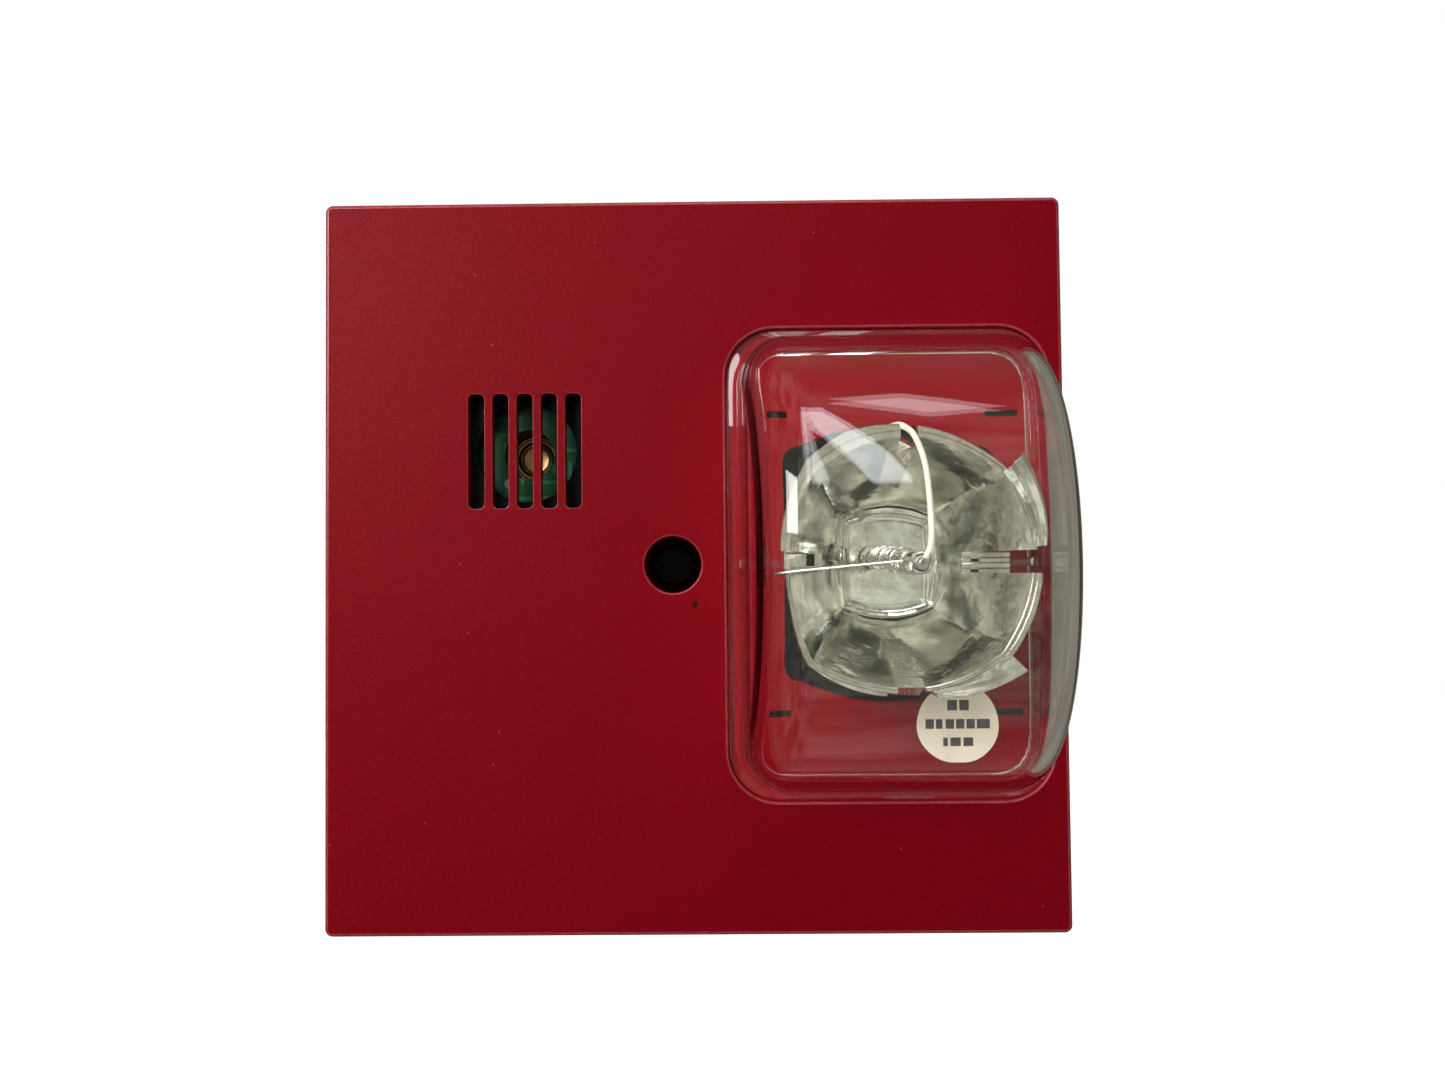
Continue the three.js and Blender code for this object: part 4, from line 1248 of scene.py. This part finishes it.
def build_coil():
    """The trigger wire's turns round the glass."""
    coil = Shell()
    coil.place = TUBE_PLACE
    turns, steps, wire_radius = 15, 24, 0.14
    start, stop = 2, 0.86 * TUBE_LENGTH
    radius = TUBE_RADIUS + 0.13
    path = []
    for k in range(turns * steps + 1):
        angle = 2 * math.pi * k / steps
        along = start + (stop - start) * k / (turns * steps)
        path.append((radius * math.cos(angle), along, radius * math.sin(angle)))
    coil.tube(path, wire_radius, 6)
    coil.build("trigger_coil", "bare_wire", weighted=False)


def build_lead(name, slot, node, radius, sides, route):
    """A wire along a route whose sideways places are measured from the reflector's middle."""
    lead = Shell()
    lead.tube(smooth_path([(REFLECTOR_X + u, depth, w) for u, depth, w in route]), radius, sides)
    lead.build(name, slot, [node], weighted=False)


def build_leads():
    build_lead("anode_lead_cable", "lead_insulation", "anode_lead", 0.42, 12, [
        (0.2, -24.9, 0.2), (1.2, -24.2, 2.6), (1.6, -21.6, 8.2), (1.5, -19.2, 13.4),
        (0.5, -17.6, 17.1), (-0.7, -16.6, 18.5), (-1.3, -13.4, 19.2), (-1.2, -2, 20), (-1.2, 5.1, 19.6),
    ])
    build_lead("trigger_lead", "bare_wire", "trigger_wire", 0.2, 10, [
        (-2.1, -21.6, 0), (-10, -19, -0.7), (-17.6, -16.4, -1.4), (-19.6, -13.6, -1.6),
        (-18.2, -6, -1.6), (-15.6, 1, -1.6), (-15.2, 5.1, -1.6),
    ])


# ---- label ----


def build_label():
    """A round paper label with a flat foot and rows of plain dark bars."""
    label_x, (front, back), label_z = extent("rating_label")
    x, z, radius = middle(label_x), middle(label_z), size(label_x) / 2
    label = Shell()

    def hand_cut(grow):
        flat_foot = -0.965 * radius - grow
        outline = []
        for px, pz in circle(1, count=72):
            angle = math.atan2(pz, px)
            wobble = 1 - 0.008 * (1 + math.sin(3 * angle + 0.6)) - 0.004 * math.sin(7 * angle)
            reach = (radius + grow) * wobble
            outline.append((x + reach * px, z + max(reach * pz, flat_foot)))
        return outline

    label.prism(hand_cut, front, back, 0.04)
    label.look = 1
    ink = 0.02
    for height, tall, bars in (
        (2.95, 1.6, [(-1.6, -0.1), (0.25, 1.7)]),
        (0.05, 1.5, [(-5.0, -3.7), (-3.4, -2.4), (-1.9, -0.6), (-0.3, 1.0), (1.3, 2.6), (2.9, 4.9)]),
        (-2.75, 1.35, [(-2.3, -1.6), (-1.2, 0.4), (0.8, 2.3)]),
    ):
        bar_z = (z + height - tall / 2, z + height + tall / 2)
        for left, right in bars:
            label.box((x + left, x + right), (front - ink, front + ink), bar_z, 0.01)
    looks = [LOOKS["label_paper"], INK]
    label.build("rating_label_disc", "label_paper", ["rating_label"], looks)


# ---- horn parts seen through the slots ----


def build_diaphragm():
    """A thin disc with raised rings."""
    disc_x, (front, back), _ = extent("horn_diaphragm")
    disc = Shell()
    disc.place = Matrix.Translation((HORN_X, 0, HORN_Z))
    flat, half_ring, steps = front + 0.3, 0.55, 4
    profile = [(0, flat)]
    for centre, rise in ((2.5, 0.3), (3.7, 0.3), (6.4, 0.25), (9.2, 0.25)):
        for k in range(-steps, steps + 1):
            swell = 0.5 + 0.5 * math.cos(math.pi * k / steps)
            profile.append((centre + half_ring * k / steps, flat - rise * swell))
    outer = size(disc_x) / 2
    disc.turned([*profile, (outer, flat), (outer, back), (0, back)], 48)
    disc.build("horn_diaphragm_disc", "diaphragm_brass", ["horn_diaphragm"])


# ---- camera, light and floor ----


def add_camera():
    data = bpy.data.cameras.new("camera")
    data.sensor_width = 36
    data.lens = 27.55
    data.shift_x = 0.0277
    data.shift_y = 0.001
    place = Vector((-0.19, FACE - 170.35, -1.96)) * MM
    right, up = (0.99991, 0.00972, -0.00880), (0.00909, -0.03053, 0.99949)
    back = (0.00945, -0.99949, -0.03061)
    camera = linked("camera", data)
    camera.matrix_world = Matrix.Translation(place) @ Matrix((right, up, back)).transposed().to_4x4()
    bpy.context.scene.camera = camera


def add_area(name, place, aim, width, height, power, colour):
    data = bpy.data.lights.new(name, "AREA")
    data.shape = "RECTANGLE"
    data.size, data.size_y = width, height
    data.energy = power
    data.color = colour
    lamp = linked(name, data)
    lamp.location = place
    lamp.rotation_euler = (Vector(aim) - Vector(place)).to_track_quat("-Z", "Y").to_euler()
    lamp.visible_camera = False


def add_lamps():
    add_area("key", (-0.22, -0.32, 0.15), (0, -0.03, 0), 0.16, 0.16, 1.45, (1, 0.98, 0.95))
    powers = (0.12, 0.34, 0.18, 0.28)
    strip_pitch, aim_pitch = 0.042, 0.004
    for strip, power in enumerate(powers):
        shift = strip - (len(powers) - 1) / 2
        place, aim = (0.045 + strip_pitch * shift, -0.42, 0.49), (0.0299 + aim_pitch * shift, -0.056, 0.02)
        add_area(f"window_strip_{strip + 1}", place, aim, 0.028, 0.42, power, (0.90, 0.96, 1))
    add_area("far_window", (0.15, -0.22, 0.60), (0.03, -0.056, 0.017), 0.06, 0.12, 0.10, (1, 0.9, 0.95))


def add_world():
    """A pale backdrop, an even fill light, and a patchy room for glossy things to mirror."""
    world = bpy.data.worlds.new("studio")
    bpy.context.scene.world = world
    world.use_nodes = True
    world.node_tree.nodes.clear()
    sky = Nodes(world.node_tree)
    ray = sky.node("ShaderNodeLightPath").outputs
    direction = sky.node("ShaderNodeTexCoord").outputs["Generated"]
    behind = sky.node("ShaderNodeSeparateXYZ", Vector=direction).outputs["Y"]

    clouds = sky.node("ShaderNodeTexNoise", Vector=direction, Scale=2.8, Detail=2.5).outputs["Fac"]
    shades = sky.ramp(
        sky.maths("MULTIPLY_ADD", behind, 0.34, clouds),
        (0.05, (0.07, 0.07, 0.055)), (0.18, (0.94, 0.94, 0.77)), (0.28, (0.22, 0.21, 0.17)),
        (0.38, (0.60, 0.60, 0.53)), (0.50, (0.16, 0.15, 0.12)), (0.75, (0.24, 0.22, 0.18)),
    )
    room = sky.node("ShaderNodeBackground", Color=shades, Strength=1.0).outputs[0]

    evenly = sky.node(
        "ShaderNodeMapRange", Value=behind, From_Min=-0.7, From_Max=0.5, To_Min=0.15, To_Max=0.62,
    ).outputs[0]
    fill = sky.node("ShaderNodeBackground", Color=(1, 0.99, 0.97, 1), Strength=evenly).outputs[0]

    pale = sky.node("ShaderNodeBackground", Color=(1, 1, 1, 1), Strength=1.0).outputs[0]
    lit = sky.either(ray["Is Diffuse Ray"], room, fill)
    sky.node("ShaderNodeOutputWorld", Surface=sky.either(ray["Is Camera Ray"], lit, pale))


def add_floor():
    mesh = bpy.data.meshes.new("floor")
    half, level = 3.0, -0.45
    corners = [(-half, -half, level), (half, -half, level), (half, half, level), (-half, half, level)]
    mesh.from_pydata(corners, [], [(0, 1, 2, 3)])
    floor = linked("floor", mesh)
    look = Look(
        "floor", (0.93, 0.93, 0.93), 0.8, Specular_IOR_Level=0.1,
        Emission_Color=(1, 1, 1, 1), Emission_Strength=0.8,
    )
    look.patches(60, 3, (0.3, 0.8), 0.3, (0.90, 0.90, 0.90))
    mesh.materials.append(look.material)
    floor.visible_glossy = False
    floor.visible_diffuse = False
    floor.visible_transmission = False


add_camera()
dress_frame()
build_cover()
build_lens()
build_bowl()
build_trim()
build_shade_sheet()
build_glass()
build_pins()
build_coil()
build_leads()
build_label()
build_diaphragm()
add_world()
add_lamps()
add_floor()

bpy.context.scene.view_settings.view_transform = "Standard"
